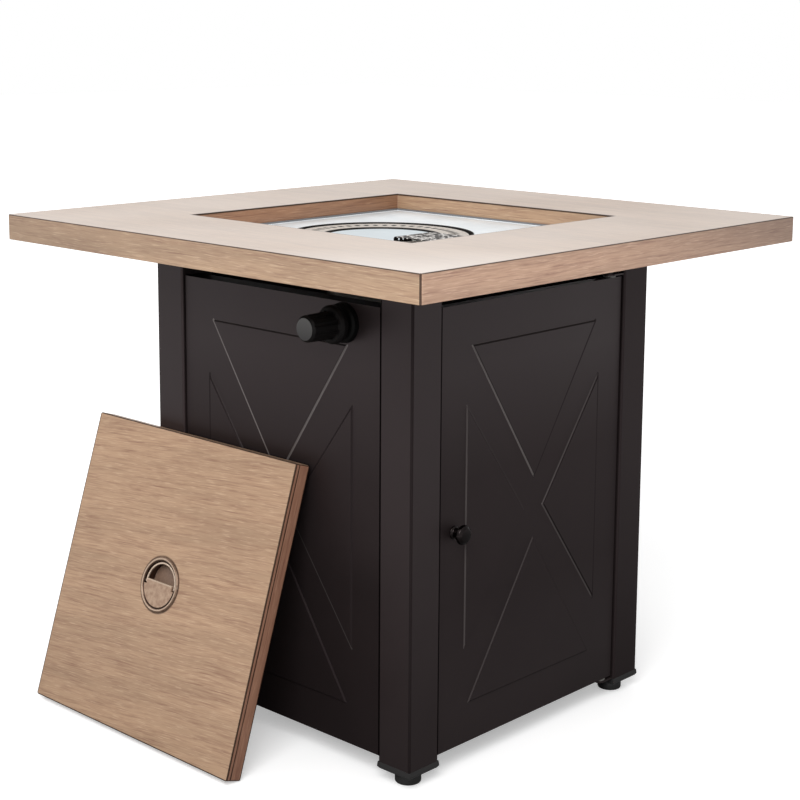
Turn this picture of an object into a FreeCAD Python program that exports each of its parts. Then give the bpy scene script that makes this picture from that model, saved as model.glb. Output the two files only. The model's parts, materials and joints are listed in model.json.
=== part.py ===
import FreeCAD, Part
import math
import os

V = FreeCAD.Vector
UP = V(0, 0, 1)
ORIGIN = V(0, 0, 0)

# Square fire pit table on four posts, with its lid leaning on the front.
# The origin is on the floor under the middle of the table, +Z up.
# The control knob is on the front (-Y) and the door is on the right (+X).

# tabletop, a folded steel tray
table_width = 711.0
table_height = 635.0
fascia_height = 32.0
top_sheet = 1.2
top_corner_radius = 4.0
hem_width = 12.0
opening_width = 382.0
pan_drop = 23.5
ledge_width = 10.0
pan_sheet = 1.0

# cabinet
cabinet_width = 446.0
post_width = 50.0
post_wall = 1.5
post_corner_radius = 3.0
post_bottom = 16.0
panel_setback = 4.0
panel_sheet = 1.0
panel_gap = 2.0
door_gap = 2.0
panel_bottom = 29.0
panel_drop = 73.0
panel_return = 15.0
door_return = 12.0
frame_tube_height = 28.8
frame_tube_width = 25.0
frame_tube_wall = 1.5

# raised triangles on the panels, measured from the panel's middle
emboss_height = 1.6
emboss_slope = 1.7
emboss_half_width = 118.0
emboss_half_height = 217.0
emboss_end_apex = 38.0
emboss_side_half_height = 147.0
emboss_side_outer = 126.0
emboss_side_apex = 18.0

# rails, angle section, behind the panels' upper and lower ends
rail_sheet = 1.5
rail_flange = 25.0
top_rail_height = 25.0
bottom_rail_low = 33.0
shelf_level = 75.0
door_rail_inset = 33.0
stud_radius = 2.0
stud_length = 9.0
stud_inset = 23.0
nut_across_flats = 7.0
nut_height = 3.5

# ears on the posts that carry the tabletop's frame
ear_sheet = 3.0
ear_reach = 22.0
ear_bolt_radius = 3.0

# shelf
shelf_sheet = 1.2
shelf_lip = 12.0
tank_ring_radius = 108.0
tank_bead_radius = 5.0
shelf_vent_circle = 70.0
shelf_vent_radius = 8.0
shelf_hole_radius = 30.0

# burner and pan: the ring lies in a narrow round trough, just below the level of the pan
burner_x = -24.0
burner_y = -16.0
ring_outer_radius = 113.0
ring_inner_radius = 76.0
ring_height = 13.0
ring_sink = 1.5
ring_wall = 0.8
ring_shoulder = 1.2
port_radius = 2.2
port_count = 48
pan_lip = 3.0
pan_clearance = 1.5
trough_gap = 5.0
trough_slope = 1.0
island_gap = 3.5
island_sink = 3.5
drain_radius = 1.5
burner_stud_radius = 2.5
feed_radius = 10.0
feed_wall = 1.4
feed_bend = 35.0
slip_fit = 0.05

# igniter guard, a perforated hood over the ring's right-hand side
guard_length = 66.0
guard_offset = 6.5
guard_sheet = 1.0
guard_rise = 5.0
guard_foot = 8.0
guard_hole_radius = 2.4
guard_pitch = 8.0

# control
knob_x = 112.0
knob_drop = 97.0
stem_radius = 3.0
knob_skirt_radius = 22.5
knob_grip_radius = 16.3
knob_skirt = 9.0
knob_length = 48.0
knob_flutes = 9
knob_travel = 5.0
bezel_radius = 24.0
bezel_height = 8.0
bezel_hole = 9.0
valve_radius = 15.0
valve_length = 36.0
valve_plate_length = 46.0

# door furniture
hinge_pin_radius = 3.0
hinge_back = 16.0
hinge_in = 7.0
hinge_plate = 2.0
bush_radius = 5.5
bush_flange_radius = 8.0
bush_flange = 2.0
running_fit = 0.05
door_knob_y = -145.5
door_knob_z = 295.0
door_knob_radius = 12.0
door_knob_length = 20.0
door_knob_neck = 6.0
catch_y = -130.0
catch_below_top = 13.0
strike_sheet = 1.0
catch_gap = 0.4

# feet
foot_radius = 15.6
foot_neck_radius = 13.8
cap_flare = 0.9
cap_skirt = 6.0
cap_chamfer = 2.5
cap_plug_depth = 20.0

# lid
lid_clearance = 2.5
lid_thickness = 22.0
lid_sheet = 1.0
lid_hem = 12.0
lid_lean = 17.6
lid_left = -318.0
lid_rest_gap = 0.3
stiffener_depth = 13.0
stiffener_width = 30.0
stiffener_flange = 10.0
stiffener_offset = 76.0
pull_radius = 34.0
pull_crest_radius = 32.0
pull_rim = 2.2
pull_cup_radius = 30.8
pull_pocket_radius = 29.3
pull_pocket_depth = 14.0
pull_plate_radius = 28.7
pull_plate_edge = 3.3
pull_plate_proud = 1.2
ring_wire = 1.5
ring_bend = 26.6
trunnion_radius = 1.2

# worked out from the sizes above
half_table = table_width / 2
half_cabinet = cabinet_width / 2
half_opening = opening_width / 2
post_inner = half_cabinet - post_width
under_top = table_height - top_sheet
frame_low = under_top - frame_tube_height
panel_face = half_cabinet - panel_setback
panel_back = panel_face - panel_sheet
panel_top = table_height - panel_drop
panel_middle = (panel_bottom + panel_top) / 2
door_rail_face = half_cabinet - door_rail_inset
top_rail_low = panel_top - top_rail_height
knob_z = table_height - knob_drop
catch_z = panel_top - catch_below_top
pan_top = table_height - pan_drop
ring_top = pan_top - ring_sink
ring_low = ring_top - ring_height
ring_mean_radius = (ring_outer_radius + ring_inner_radius) / 2
island_top = pan_top - island_sink
trough_radius = ring_outer_radius + trough_gap
island_radius = ring_inner_radius - island_gap
hinge_x = panel_face - hinge_in
hinge_y = post_inner - door_gap - hinge_back
lid_width = opening_width - 2 * lid_clearance


def box(x0, x1, y0, y1, z0, z1):
    return Part.makeBox(x1 - x0, y1 - y0, z1 - z0, V(x0, y0, z0))


def rod(radius, start, end):
    way = end - start
    return Part.makeCylinder(radius, way.Length, start, way)


def pipe(outer, inner, start, end):
    return rod(outer, start, end).cut(rod(inner, start, end))


def prism(points, way):
    wire = Part.makePolygon(points + [points[0]])
    return Part.Face(wire).extrude(way)


def turned(profile, centre=ORIGIN):
    # spins (radius, height) points about a vertical axis through the centre
    points = [centre + V(r, 0, z) for r, z in profile]
    face = Part.Face(Part.makePolygon(points + [points[0]]))
    return face.revolve(centre, UP, 360)


def turned_outward(profile, centre):
    # the same about a horizontal axis, with heights measured towards the front
    shape = turned(profile)
    shape.rotate(ORIGIN, V(1, 0, 0), 90)
    shape.translate(centre)
    return shape


def on_side(shape, quarter_turns):
    # a piece drawn on the front goes to the right, back or left side
    copy = shape.copy()
    copy.rotate(ORIGIN, UP, 90 * quarter_turns)
    return copy


def rounded(shape, radius, is_edge):
    return shape.makeFillet(radius, [e for e in shape.Edges if is_edge(e)])


def upright(edge):
    first, last = edge.Vertexes[0].Point, edge.Vertexes[-1].Point
    return abs(first.x - last.x) + abs(first.y - last.y) < 0.001


def rounded_box(x0, x1, y0, y1, z0, z1, radius):
    return rounded(box(x0, x1, y0, y1, z0, z1), radius, upright)


def square(half, z0, z1):
    return box(-half, half, -half, half, z0, z1)


def obround(x, z, length, height, y0, y1):
    # a plate with round ends, facing the front, its length along X
    r = height / 2
    reach = length / 2 - r
    body = box(x - reach, x + reach, y0, y1, z - r, z + r)
    ends = [rod(r, V(x + s * reach, y0, z), V(x + s * reach, y1, z)) for s in (-1, 1)]
    return body.fuse(ends)


def hexagon(across_flats, height, centre, axis):
    radius = across_flats / math.sqrt(3)
    points = [V(radius * math.cos(math.radians(60 * i)), radius * math.sin(math.radians(60 * i)), 0)
              for i in range(6)]
    shape = prism(points, V(0, 0, height))
    turn = FreeCAD.Rotation(UP, axis)
    shape.Placement = FreeCAD.Placement(centre, turn)
    return shape


def make_tabletop():
    low = table_height - fascia_height
    ledge_top = pan_top - pan_sheet
    ledge_low = ledge_top - top_sheet
    half_in = half_table - top_sheet
    shell = rounded_box(-half_table, half_table, -half_table, half_table, low, table_height,
                        top_corner_radius)
    hollow = rounded_box(-half_in, half_in, -half_in, half_in, low + top_sheet, under_top,
                         top_corner_radius - top_sheet)
    mouth = square(half_in - hem_width, low, low + top_sheet)
    tray = shell.cut(hollow).cut(mouth)
    wall = square(half_opening + top_sheet, ledge_low, under_top)
    wall = wall.fuse(tray)
    wall = wall.cut(square(half_opening, ledge_top, table_height))
    wall = wall.cut(square(half_opening - ledge_width, ledge_low, ledge_top))
    return wall.removeSplitter()


def ear_bolt_places():
    # beside the right front post, one on each of its inner sides
    out = half_cabinet - frame_tube_width / 2
    along = post_inner - ear_reach / 2
    return [(along, -out), (out, -along)]


def make_underframe():
    outer = half_cabinet
    inner = half_cabinet - frame_tube_width
    wall = frame_tube_wall
    ring = square(outer, frame_low, under_top).cut(square(inner, frame_low, under_top))
    hollow = square(outer - wall, frame_low + wall, under_top - wall)
    hollow = hollow.cut(square(inner + wall, frame_low + wall, under_top - wall))
    ring = ring.cut(hollow)
    for x, y in ear_bolt_places():
        hole = rod(ear_bolt_radius + slip_fit, V(x, y, frame_low), V(x, y, frame_low + wall))
        for turn in range(4):
            ring = ring.cut(on_side(hole, turn))
    return ring


def make_post():
    # square tube with two ears under the tabletop's frame, drawn at the right front corner
    low = post_bottom + cap_chamfer
    outer = rounded_box(post_inner, half_cabinet, -half_cabinet, -post_inner, low, frame_low,
                        post_corner_radius)
    bore = rounded_box(post_inner + post_wall, half_cabinet - post_wall,
                       -half_cabinet + post_wall, -post_inner - post_wall, low, frame_low,
                       post_corner_radius - post_wall)
    post = outer.cut(bore)
    for x, y in ear_bolt_places():
        half = frame_tube_width / 2 - 3
        if x > -y:
            ear = box(x - half, x + half, -post_inner, -post_inner + ear_reach,
                      frame_low - ear_sheet, frame_low)
        else:
            ear = box(post_inner - ear_reach, post_inner, y - half, y + half,
                      frame_low - ear_sheet, frame_low)
        hole = rod(ear_bolt_radius + 0.3, V(x, y, frame_low - ear_sheet), V(x, y, frame_low))
        post = post.fuse(ear.cut(hole))
    return post.removeSplitter()


def make_frame_bolts():
    # hexagon bolts up through the ears into the frame's lower wall
    bolts = []
    for x, y in ear_bolt_places():
        low = frame_low - ear_sheet
        shank = rod(ear_bolt_radius, V(x, y, low), V(x, y, frame_low + frame_tube_wall + 5))
        head = hexagon(10, 4, V(x, y, low - 4), UP)
        bolts += [on_side(head.fuse(shank), turn) for turn in range(4)]
    return Part.makeCompound(bolts)


def make_post_cap():
    # plastic plug whose skirt flares out round the post's foot and is chamfered below
    middle = (post_inner + half_cabinet) / 2
    half = post_width / 2

    def outline(reach, z):
        corners = [(-reach, -reach), (reach, -reach), (reach, reach), (-reach, reach)]
        points = [V(middle + x, -middle + y, z) for x, y in corners]
        return Part.makePolygon(points + [points[0]])

    rim_z = post_bottom + cap_chamfer
    skirt = Part.makeLoft([outline(half + 0.3, rim_z + cap_skirt), outline(half + cap_flare, rim_z + 1),
                           outline(half + cap_flare, rim_z), outline(half - 1, post_bottom)], True, True)
    around_post = box(post_inner, half_cabinet, -half_cabinet, -post_inner, rim_z, rim_z + cap_skirt)
    inside = post_wall + 0.2
    top = rim_z + cap_plug_depth
    plug = rounded_box(post_inner + inside, half_cabinet - inside, -half_cabinet + inside,
                       -post_inner - inside, rim_z, top, post_corner_radius - post_wall)
    hollow = rounded_box(post_inner + inside + 2, half_cabinet - inside - 2,
                         -half_cabinet + inside + 2, -post_inner - inside - 2, rim_z, top, 1)
    return skirt.cut(around_post).fuse(plug.cut(hollow)).removeSplitter()


def make_foot():
    centre = V(half_cabinet - post_width / 2, -half_cabinet + post_width / 2, 0)
    top = post_bottom
    profile = [(0, 0), (foot_radius - 2, 0), (foot_radius - 0.6, 0.6), (foot_radius, 2.2),
               (foot_radius, 7), (foot_neck_radius, top - 3), (foot_neck_radius, top), (0, top)]
    return turned(profile, centre)


def triangle_frustum(corners, y_base, height, slope):
    # a raised triangle with sloped sides, its base on the plane y_base
    def inset(points, amount):
        lines = []
        for i in range(3):
            a, b = points[i], points[(i + 1) % 3]
            along = (b - a).normalize()
            inward = V(-along.z, 0, along.x)
            centre = (points[0] + points[1] + points[2]) / 3
            if (centre - a).dot(inward) < 0:
                inward = inward * -1
            lines.append((a + inward * amount, along))
        moved = []
        for i in range(3):
            (p, d), (q, e) = lines[i - 1], lines[i]
            cross = d.x * e.z - d.z * e.x
            reach = ((q.x - p.x) * e.z - (q.z - p.z) * e.x) / cross
            moved.append(p + d * reach)
        return moved

    base = [V(x, y_base, z) for x, z in corners]
    crown = [p + V(0, -height, 0) for p in inset(base, slope)]
    wires = [Part.makePolygon(loop + [loop[0]]) for loop in (base, crown)]
    return Part.makeLoft(wires, True, True)


def panel_triangles():
    mid = panel_middle
    end_z = emboss_half_height
    side_z = emboss_side_half_height
    shapes = []
    for s in (-1, 1):
        shapes.append([(-emboss_half_width, mid + s * end_z), (emboss_half_width, mid + s * end_z),
                       (0, mid + s * emboss_end_apex)])
        shapes.append([(s * emboss_side_outer, mid + side_z), (s * emboss_side_outer, mid - side_z),
                       (s * emboss_side_apex, mid)])
    return shapes


def embossed_sheet(half_width):
    sheet = box(-half_width, half_width, -panel_face, -panel_back, panel_bottom, panel_top)
    for corners in panel_triangles():
        sheet = sheet.fuse(triangle_frustum(corners, -panel_face, emboss_height, emboss_slope))
        sheet = sheet.cut(triangle_frustum(corners, -panel_back, emboss_height, emboss_slope))
    return sheet


def stud_places():
    rows = ((top_rail_low + panel_top) / 2, (bottom_rail_low + shelf_level) / 2)
    return [(s * (post_inner - stud_inset), z) for s in (-1, 1) for z in rows]


def make_side_panel():
    # sheet with folded-in sides between the rails, and weld studs for its nuts
    half = post_inner - panel_gap
    panel = embossed_sheet(half)
    for s in (-1, 1):
        outer = s * half
        inner = s * (half - panel_sheet)
        panel = panel.fuse(box(min(outer, inner), max(outer, inner), -panel_back,
                               -panel_back + panel_return, shelf_level + 20, top_rail_low - 5))
    panel = panel.fuse(box(-half, half, -panel_back, -panel_back + panel_return / 2,
                           panel_bottom, panel_bottom + panel_sheet))
    for x, z in stud_places():
        panel = panel.fuse(rod(stud_radius, V(x, -panel_back, z), V(x, -panel_back + stud_length, z)))
    return panel.removeSplitter()


def control_holes():
    return [(knob_x, stem_radius + 4)] + [(knob_x + s * 14, 2.2) for s in (-1, 1)]


def make_front_panel():
    panel = make_side_panel()
    for x, r in control_holes():
        panel = panel.cut(rod(r, V(x, -panel_face - 1, knob_z), V(x, -panel_back + 1, knob_z)))
    return panel


def make_nuts():
    nuts = []
    face = -panel_back + rail_sheet
    for x, z in stud_places():
        nut = hexagon(nut_across_flats, nut_height, V(x, face, z), V(0, 1, 0))
        nuts.append(nut.cut(rod(stud_radius + slip_fit, V(x, face, z), V(x, face + nut_height, z))))
    sides = [on_side(nut, turn) for turn in (0, 2, 3) for nut in nuts]
    return Part.makeCompound(sides)


def make_rail(face, low, high):
    # angle between the posts, its web behind the panel and its flange inwards at the top
    web = box(-post_inner, post_inner, -face, -face + rail_sheet, low, high)
    flange = box(-post_inner, post_inner, -face, -face + rail_flange, high - rail_sheet, high)
    return web.fuse(flange).removeSplitter()


def make_panel_rail(low, high):
    rail = make_rail(panel_back, low, high)
    for x, z in stud_places():
        rail = rail.cut(rod(stud_radius + 0.3, V(x, -panel_back, z), V(x, -panel_back + rail_sheet, z)))
    return rail


def make_front_top_rail():
    # cut away round the gas valve
    half = valve_plate_length / 2 + 2
    notch = box(knob_x - half, knob_x + half, -panel_back, -panel_back + rail_sheet,
                top_rail_low, knob_z + valve_radius + 3)
    return make_panel_rail(top_rail_low, panel_top).cut(notch)


def make_shelf():
    low = shelf_level
    top = low + shelf_sheet
    reach = panel_back - 2
    right = door_rail_face
    plate = box(-reach, right, -reach, reach, low, top + shelf_lip)
    plate = plate.cut(box(-reach + shelf_sheet, right - shelf_sheet, -reach + shelf_sheet,
                          reach - shelf_sheet, top, top + shelf_lip))
    corner = post_inner - 0.5
    for sx in (-1, 1):
        for sy in (-1, 1):
            xs = sorted((sx * corner, sx * half_cabinet))
            ys = sorted((sy * corner, sy * half_cabinet))
            plate = plate.cut(box(xs[0], xs[1], ys[0], ys[1], low, top + shelf_lip))
    bead = Part.makeTorus(tank_ring_radius, tank_bead_radius, V(0, 0, low))
    hollow = Part.makeTorus(tank_ring_radius, tank_bead_radius - shelf_sheet, V(0, 0, low))
    above = square(half_cabinet, low, top + shelf_lip)
    plate = plate.fuse(bead.common(above)).cut(hollow)
    plate = plate.cut(rod(shelf_hole_radius, V(0, 0, low), V(0, 0, top)))
    for i in range(8):
        angle = math.radians(22.5 + 45 * i)
        place = V(math.cos(angle), math.sin(angle), 0) * shelf_vent_circle
        plate = plate.cut(rod(shelf_vent_radius, place + V(0, 0, low), place + V(0, 0, top)))
    return plate.removeSplitter()


def burner_centre(z):
    return V(burner_x, burner_y, z)


def round_burner(radius, degrees, z=0.0):
    angle = math.radians(degrees)
    return burner_centre(z) + V(math.cos(angle), math.sin(angle), 0) * radius


def burner_stud_places():
    return [round_burner(ring_mean_radius, degrees) for degrees in (60, 180, 300)]


def feed_inlet(z):
    return round_burner(ring_mean_radius, 270, z)


def make_fire_pan():
    half = half_opening - pan_clearance
    low = pan_top - pan_sheet
    floor_low = ring_low - pan_sheet
    plate = square(half, low, pan_top + pan_lip)
    plate = plate.cut(square(half - pan_sheet, pan_top, pan_top + pan_lip))
    plate = plate.cut(rod(trough_radius + 1, burner_centre(low), burner_centre(pan_top)))
    foot = trough_radius - trough_slope
    trough = turned([(trough_radius + 1, low), (trough_radius + 1, pan_top), (trough_radius, pan_top),
                     (foot, ring_low), (island_radius + 1.3, ring_low), (island_radius, island_top),
                     (0, island_top), (0, island_top - pan_sheet),
                     (island_radius - 0.9, island_top - pan_sheet), (island_radius + 0.4, floor_low),
                     (foot + 0.8, floor_low), (trough_radius + 0.8, low)], burner_centre(0))
    pan = plate.fuse(trough)
    pan = pan.cut(rod(feed_radius + 2.5, feed_inlet(floor_low), feed_inlet(ring_low)))
    drain_ring = (ring_outer_radius + foot) / 2
    for degrees in (45, 135, 225, 315):
        pan = pan.cut(rod(drain_radius, round_burner(drain_ring, degrees, floor_low),
                          round_burner(drain_ring, degrees, ring_low)))
    for place in burner_stud_places():
        pan = pan.cut(rod(burner_stud_radius + 0.3, place + V(0, 0, floor_low), place + V(0, 0, ring_low)))
    for x, y, r in sensor_places():
        pan = pan.cut(rod(r + 0.3, V(x, y, island_top - pan_sheet), V(x, y, island_top)))
    return pan.removeSplitter()


def ring_section(wall):
    # half section of the flat annular tube with sloped upper shoulders, drawn a wall inside it
    inner = ring_inner_radius + wall
    outer = ring_outer_radius - wall
    low = ring_low + wall
    high = ring_top - wall
    s = ring_shoulder
    return [(inner, low), (outer, low), (outer, high - s), (outer - s / 3, high - s / 3),
            (outer - s, high), (inner + s, high), (inner + s / 3, high - s / 3), (inner, high - s)]


def make_ring_burner():
    spigot_low = ring_low - pan_sheet - 6
    shell = turned(ring_section(0), burner_centre(0))
    shell = shell.fuse(rod(feed_radius + slip_fit + 1.2, feed_inlet(spigot_low), feed_inlet(ring_low + 2)))
    hollow = turned(ring_section(ring_wall), burner_centre(0))
    hollow = hollow.fuse(rod(feed_radius + slip_fit, feed_inlet(spigot_low), feed_inlet(ring_low + 4)))
    burner = shell.cut(hollow)
    for i in range(port_count):
        degrees = 360 * (i + 0.5) / port_count
        burner = burner.cut(rod(port_radius, round_burner(ring_mean_radius, degrees, ring_top - 3),
                                round_burner(ring_mean_radius, degrees, ring_top)))
    return burner


def make_burner_studs():
    # studs welded below the ring, each with its nut under the pan
    studs = []
    floor_low = ring_low - pan_sheet
    for place in burner_stud_places():
        stud = rod(burner_stud_radius, place + V(0, 0, floor_low - 6), place + V(0, 0, ring_low))
        nut = hexagon(8, 4, place + V(0, 0, floor_low - 4), UP)
        studs.append(stud.fuse(nut))
    return Part.makeCompound(studs)


def guard_sides():
    # the hood straddles the ring: one leg stands on the island, the other beyond the trough
    reach = guard_length / 2 + guard_offset
    inner = math.sqrt(island_radius ** 2 - reach ** 2) - 1
    outer = trough_radius + 1.5
    return burner_x + inner, burner_x + outer


def make_guard():
    inner, outer = guard_sides()
    t = guard_sheet
    middle = burner_y - guard_offset
    top = ring_top + guard_rise + t
    y0, y1 = middle - guard_length / 2, middle + guard_length / 2
    hood = box(inner - t, outer + t, y0, y1, island_top, top)
    hood = rounded(hood, 3, lambda e: abs(e.CenterOfMass.z - top) < 0.01
                   and abs(e.BoundBox.YLength - guard_length) < 0.01)
    space = box(inner, outer, y0, y1, island_top, top - t)
    space = rounded(space, 2, lambda e: abs(e.CenterOfMass.z - top + t) < 0.01
                    and abs(e.BoundBox.YLength - guard_length) < 0.01)
    hood = hood.cut(space)
    hood = hood.cut(box(outer, outer + t, y0, y1, island_top, pan_top))
    for edge, level in ((inner - t - guard_foot, island_top), (outer + t, pan_top)):
        foot = box(edge, edge + guard_foot, y0 + guard_foot, y1 - guard_foot, level, level + t)
        hood = hood.fuse(foot)
    rows = int((guard_length - guard_pitch) / guard_pitch)
    columns = int((outer - inner - guard_pitch) / guard_pitch)
    leg_middle = (island_top + top) / 2
    for i in range(rows):
        y = middle + (i - (rows - 1) / 2) * guard_pitch
        for j in range(columns):
            x = (inner + outer) / 2 + (j - (columns - 1) / 2) * guard_pitch
            hood = hood.cut(rod(guard_hole_radius, V(x, y, top - t - 1), V(x, y, top + 1)))
        hood = hood.cut(rod(guard_hole_radius * 0.75, V(inner - t - 1, y, leg_middle),
                            V(inner + 1, y, leg_middle)))
    return hood


def sensor_places():
    x = guard_sides()[0] + 4
    return [(x, burner_y - 8, 2.8), (x, burner_y + 8, 2.4)]


def make_electrode():
    x, y, r = sensor_places()[0]
    low = island_top - 22
    return turned([(0, low), (1.8, low), (1.8, low + 8), (r, low + 8), (r, island_top + 1),
                   (1.4, island_top + 3), (0, island_top + 3)], V(x, y, 0))


def make_electrode_pin():
    # bent wire from the insulator's top to above the ring
    x, y, r = sensor_places()[0]
    bend = V(x, y, ring_top + guard_rise - 2)
    upright = rod(0.7, V(x, y, island_top + 3), bend)
    tip = rod(0.7, bend, bend + V(9, 2, 0))
    return upright.fuse(tip).fuse(Part.makeSphere(0.7, bend))


def make_thermocouple():
    x, y, r = sensor_places()[1]
    low = island_top - 22
    high = ring_top + guard_rise - 1.5
    return turned([(0, low), (1.6, low), (1.6, island_top - 6), (r, island_top - 6), (r, island_top + 1.5),
                   (1.6, island_top + 2.5), (1.6, high - 1.5), (0.6, high), (0, high)], V(x, y, 0))


def feed_start():
    return V(knob_x, -panel_back + valve_length + 16, knob_z)


def make_feed_tube():
    start = feed_start()
    first = V(knob_x, feed_inlet(0).y, knob_z)
    points = [start, first, feed_inlet(knob_z), feed_inlet(ring_low - 1)]
    edges = []
    last = start
    for i in (1, 2):
        before = (points[i - 1] - points[i]).normalize()
        after = (points[i + 1] - points[i]).normalize()
        turn = math.pi - before.getAngle(after)
        reach = feed_bend * math.tan(turn / 2)
        a = points[i] + before * reach
        b = points[i] + after * reach
        towards = (before + after).normalize()
        centre = points[i] + towards * (feed_bend / math.cos(turn / 2))
        middle = centre - towards * feed_bend
        edges.append(Part.LineSegment(last, a).toShape())
        edges.append(Part.Arc(a, middle, b).toShape())
        last = b
    edges.append(Part.LineSegment(last, points[-1]).toShape())
    path = Part.Wire(edges)

    def swept(radius):
        circle = Part.Wire([Part.Circle(start, V(0, 1, 0), radius).toShape()])
        return path.makePipeShell([circle], True, False)

    tube = swept(feed_radius).cut(swept(feed_radius - feed_wall))
    window = box(knob_x - 3.5, knob_x + 3.5, start.y + 5, start.y + 19, knob_z - 20, knob_z + 20)
    return tube.cut(window)


def make_air_shutter():
    start = feed_start() + V(0, 2, 0)
    end = start + V(0, 20, 0)
    sleeve = pipe(feed_radius + 1.4, feed_radius + slip_fit, start, end)
    window = box(knob_x - 4, knob_x + 4, start.y + 4, end.y - 4, knob_z, knob_z + 20)
    return sleeve.cut(window)


def control_point(y):
    return V(knob_x, y, knob_z)


def make_valve():
    # body along Y behind the panel, with a mounting plate, inlet boss and outlet hood
    face = -panel_back
    end = face + valve_length
    plate = obround(knob_x, knob_z, valve_plate_length, 24, face, face + 2.5)
    body = rod(valve_radius, control_point(face), control_point(end - 6))
    neck = rod(valve_radius - 4, control_point(end - 6), control_point(end))
    hood = rod(feed_radius - feed_wall - slip_fit, control_point(end), control_point(end + 22))
    block = box(knob_x - 12, knob_x + 12, face + 8, end - 8, knob_z - valve_radius - 4, knob_z)
    valve = plate.fuse(body).fuse(neck).fuse(hood).fuse(block).removeSplitter()
    valve = valve.cut(rod(stem_radius + running_fit, control_point(face), control_point(face + 22)))
    valve = valve.cut(rod(stem_radius + 4, control_point(face), control_point(face + 12)))
    valve = valve.cut(rod(2.5, control_point(end + 4), control_point(end + 22)))
    for x, r in control_holes()[1:]:
        valve = valve.cut(rod(1.8, V(x, face, knob_z), V(x, face + 6, knob_z)))
    return valve


def make_valve_inlet():
    x, y = knob_x, -panel_back + valve_length / 2
    top = knob_z - valve_radius - 4
    nut = hexagon(17, 8, V(x, y, top - 8), UP)
    stub = turned([(3, top - 24), (7, top - 24), (8, top - 23), (8, top - 8), (3, top - 8)], V(x, y, 0))
    bore = rod(3, V(x, y, top - 8), V(x, y, top))
    return nut.cut(bore).fuse(stub).removeSplitter()


def make_valve_screws():
    screws = []
    for x, r in control_holes()[1:]:
        shank = rod(1.75, V(x, -panel_face, knob_z), V(x, -panel_back + 6, knob_z))
        head = rod(3.2, V(x, -panel_face - 2, knob_z), V(x, -panel_face, knob_z))
        screws.append(shank.fuse(head))
    return Part.makeCompound(screws)


def make_bezel():
    recess = 2.6
    groove = 18.0
    profile = [(bezel_hole, 0), (bezel_hole, bezel_height - 1), (bezel_hole + 1, bezel_height),
               (bezel_radius - 4, bezel_height), (bezel_radius - 1, bezel_height - 2), (bezel_radius, 0),
               (groove, 0), (groove, recess), (bezel_hole + 1.2, recess), (bezel_hole + 1.2, 0)]
    return turned_outward(profile, control_point(-panel_face))


def make_stem():
    back = -panel_back + 15
    front = -panel_face - bezel_height - knob_travel - 2 - knob_length + 8
    stem = rod(stem_radius, control_point(front), control_point(back))
    flat = box(knob_x + stem_radius - 1, knob_x + stem_radius, front, front + 18,
               knob_z - stem_radius, knob_z + stem_radius)
    return stem.cut(flat)


def make_stem_collar():
    # moves in and out with the stem, which turns in it
    near = -panel_face - bezel_height + 1
    return pipe(stem_radius + 3, stem_radius + running_fit, control_point(near), control_point(near + 6))


def make_knob():
    back = -panel_face - bezel_height - knob_travel - 2
    skirt = knob_skirt
    profile = [(0, 0), (knob_skirt_radius - 1, 0), (knob_skirt_radius, 1), (knob_skirt_radius, skirt - 3),
               (knob_skirt_radius - 2, skirt), (knob_grip_radius, skirt + 2),
               (knob_grip_radius - 0.8, knob_length - 3), (knob_grip_radius - 3.5, knob_length),
               (0, knob_length)]
    knob = turned_outward(profile, control_point(back))
    reach = knob_grip_radius + 2.2
    for i in range(knob_flutes):
        angle = 2 * math.pi * (i + 0.5) / knob_flutes
        offset = V(math.cos(angle), 0, math.sin(angle)) * reach
        knob = knob.cut(rod(3.6, control_point(back - skirt - 1) + offset,
                            control_point(back - knob_length) + offset))
    return knob.cut(make_stem())


def make_door_panel():
    half = post_inner - door_gap
    z0, z1 = panel_bottom, panel_top
    inner = -panel_back + door_return
    door = embossed_sheet(half)
    tray = box(-half, half, -panel_back, inner, z0, z1)
    tray = tray.cut(box(-half + panel_sheet, half - panel_sheet, -panel_back, inner,
                        z0 + panel_sheet, z1 - panel_sheet))
    door = door.fuse(tray).removeSplitter()
    door = on_side(door, 1)
    for z in (z0, z1 - panel_sheet):
        door = door.cut(rod(bush_radius, V(hinge_x, hinge_y, z), V(hinge_x, hinge_y, z + panel_sheet)))
    screw = V(0, door_knob_y, door_knob_z)
    return door.cut(rod(2.2, screw + V(panel_back - 1, 0, 0), screw + V(panel_face + 3, 0, 0)))


def make_bush(upper):
    # nylon sleeve through the door's folded edge, its flange towards the bracket
    edge = panel_top if upper else panel_bottom
    way = 1 if upper else -1
    r = hinge_pin_radius + running_fit
    flange_end = edge + way * bush_flange
    sleeve_end = edge - way * 6
    lo, hi = sorted((edge, flange_end))
    flange = rod(bush_flange_radius, V(hinge_x, hinge_y, lo), V(hinge_x, hinge_y, hi))
    lo2, hi2 = sorted((edge, sleeve_end))
    sleeve = rod(bush_radius, V(hinge_x, hinge_y, lo2), V(hinge_x, hinge_y, hi2))
    bore = rod(r, V(hinge_x, hinge_y, min(lo, lo2)), V(hinge_x, hinge_y, max(hi, hi2)))
    return flange.fuse(sleeve).removeSplitter().cut(bore)


def bracket_levels(upper):
    if upper:
        low = panel_top + bush_flange + 0.3
        return low, low + hinge_plate
    high = panel_bottom - bush_flange - 0.3
    return high - hinge_plate, high


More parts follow.
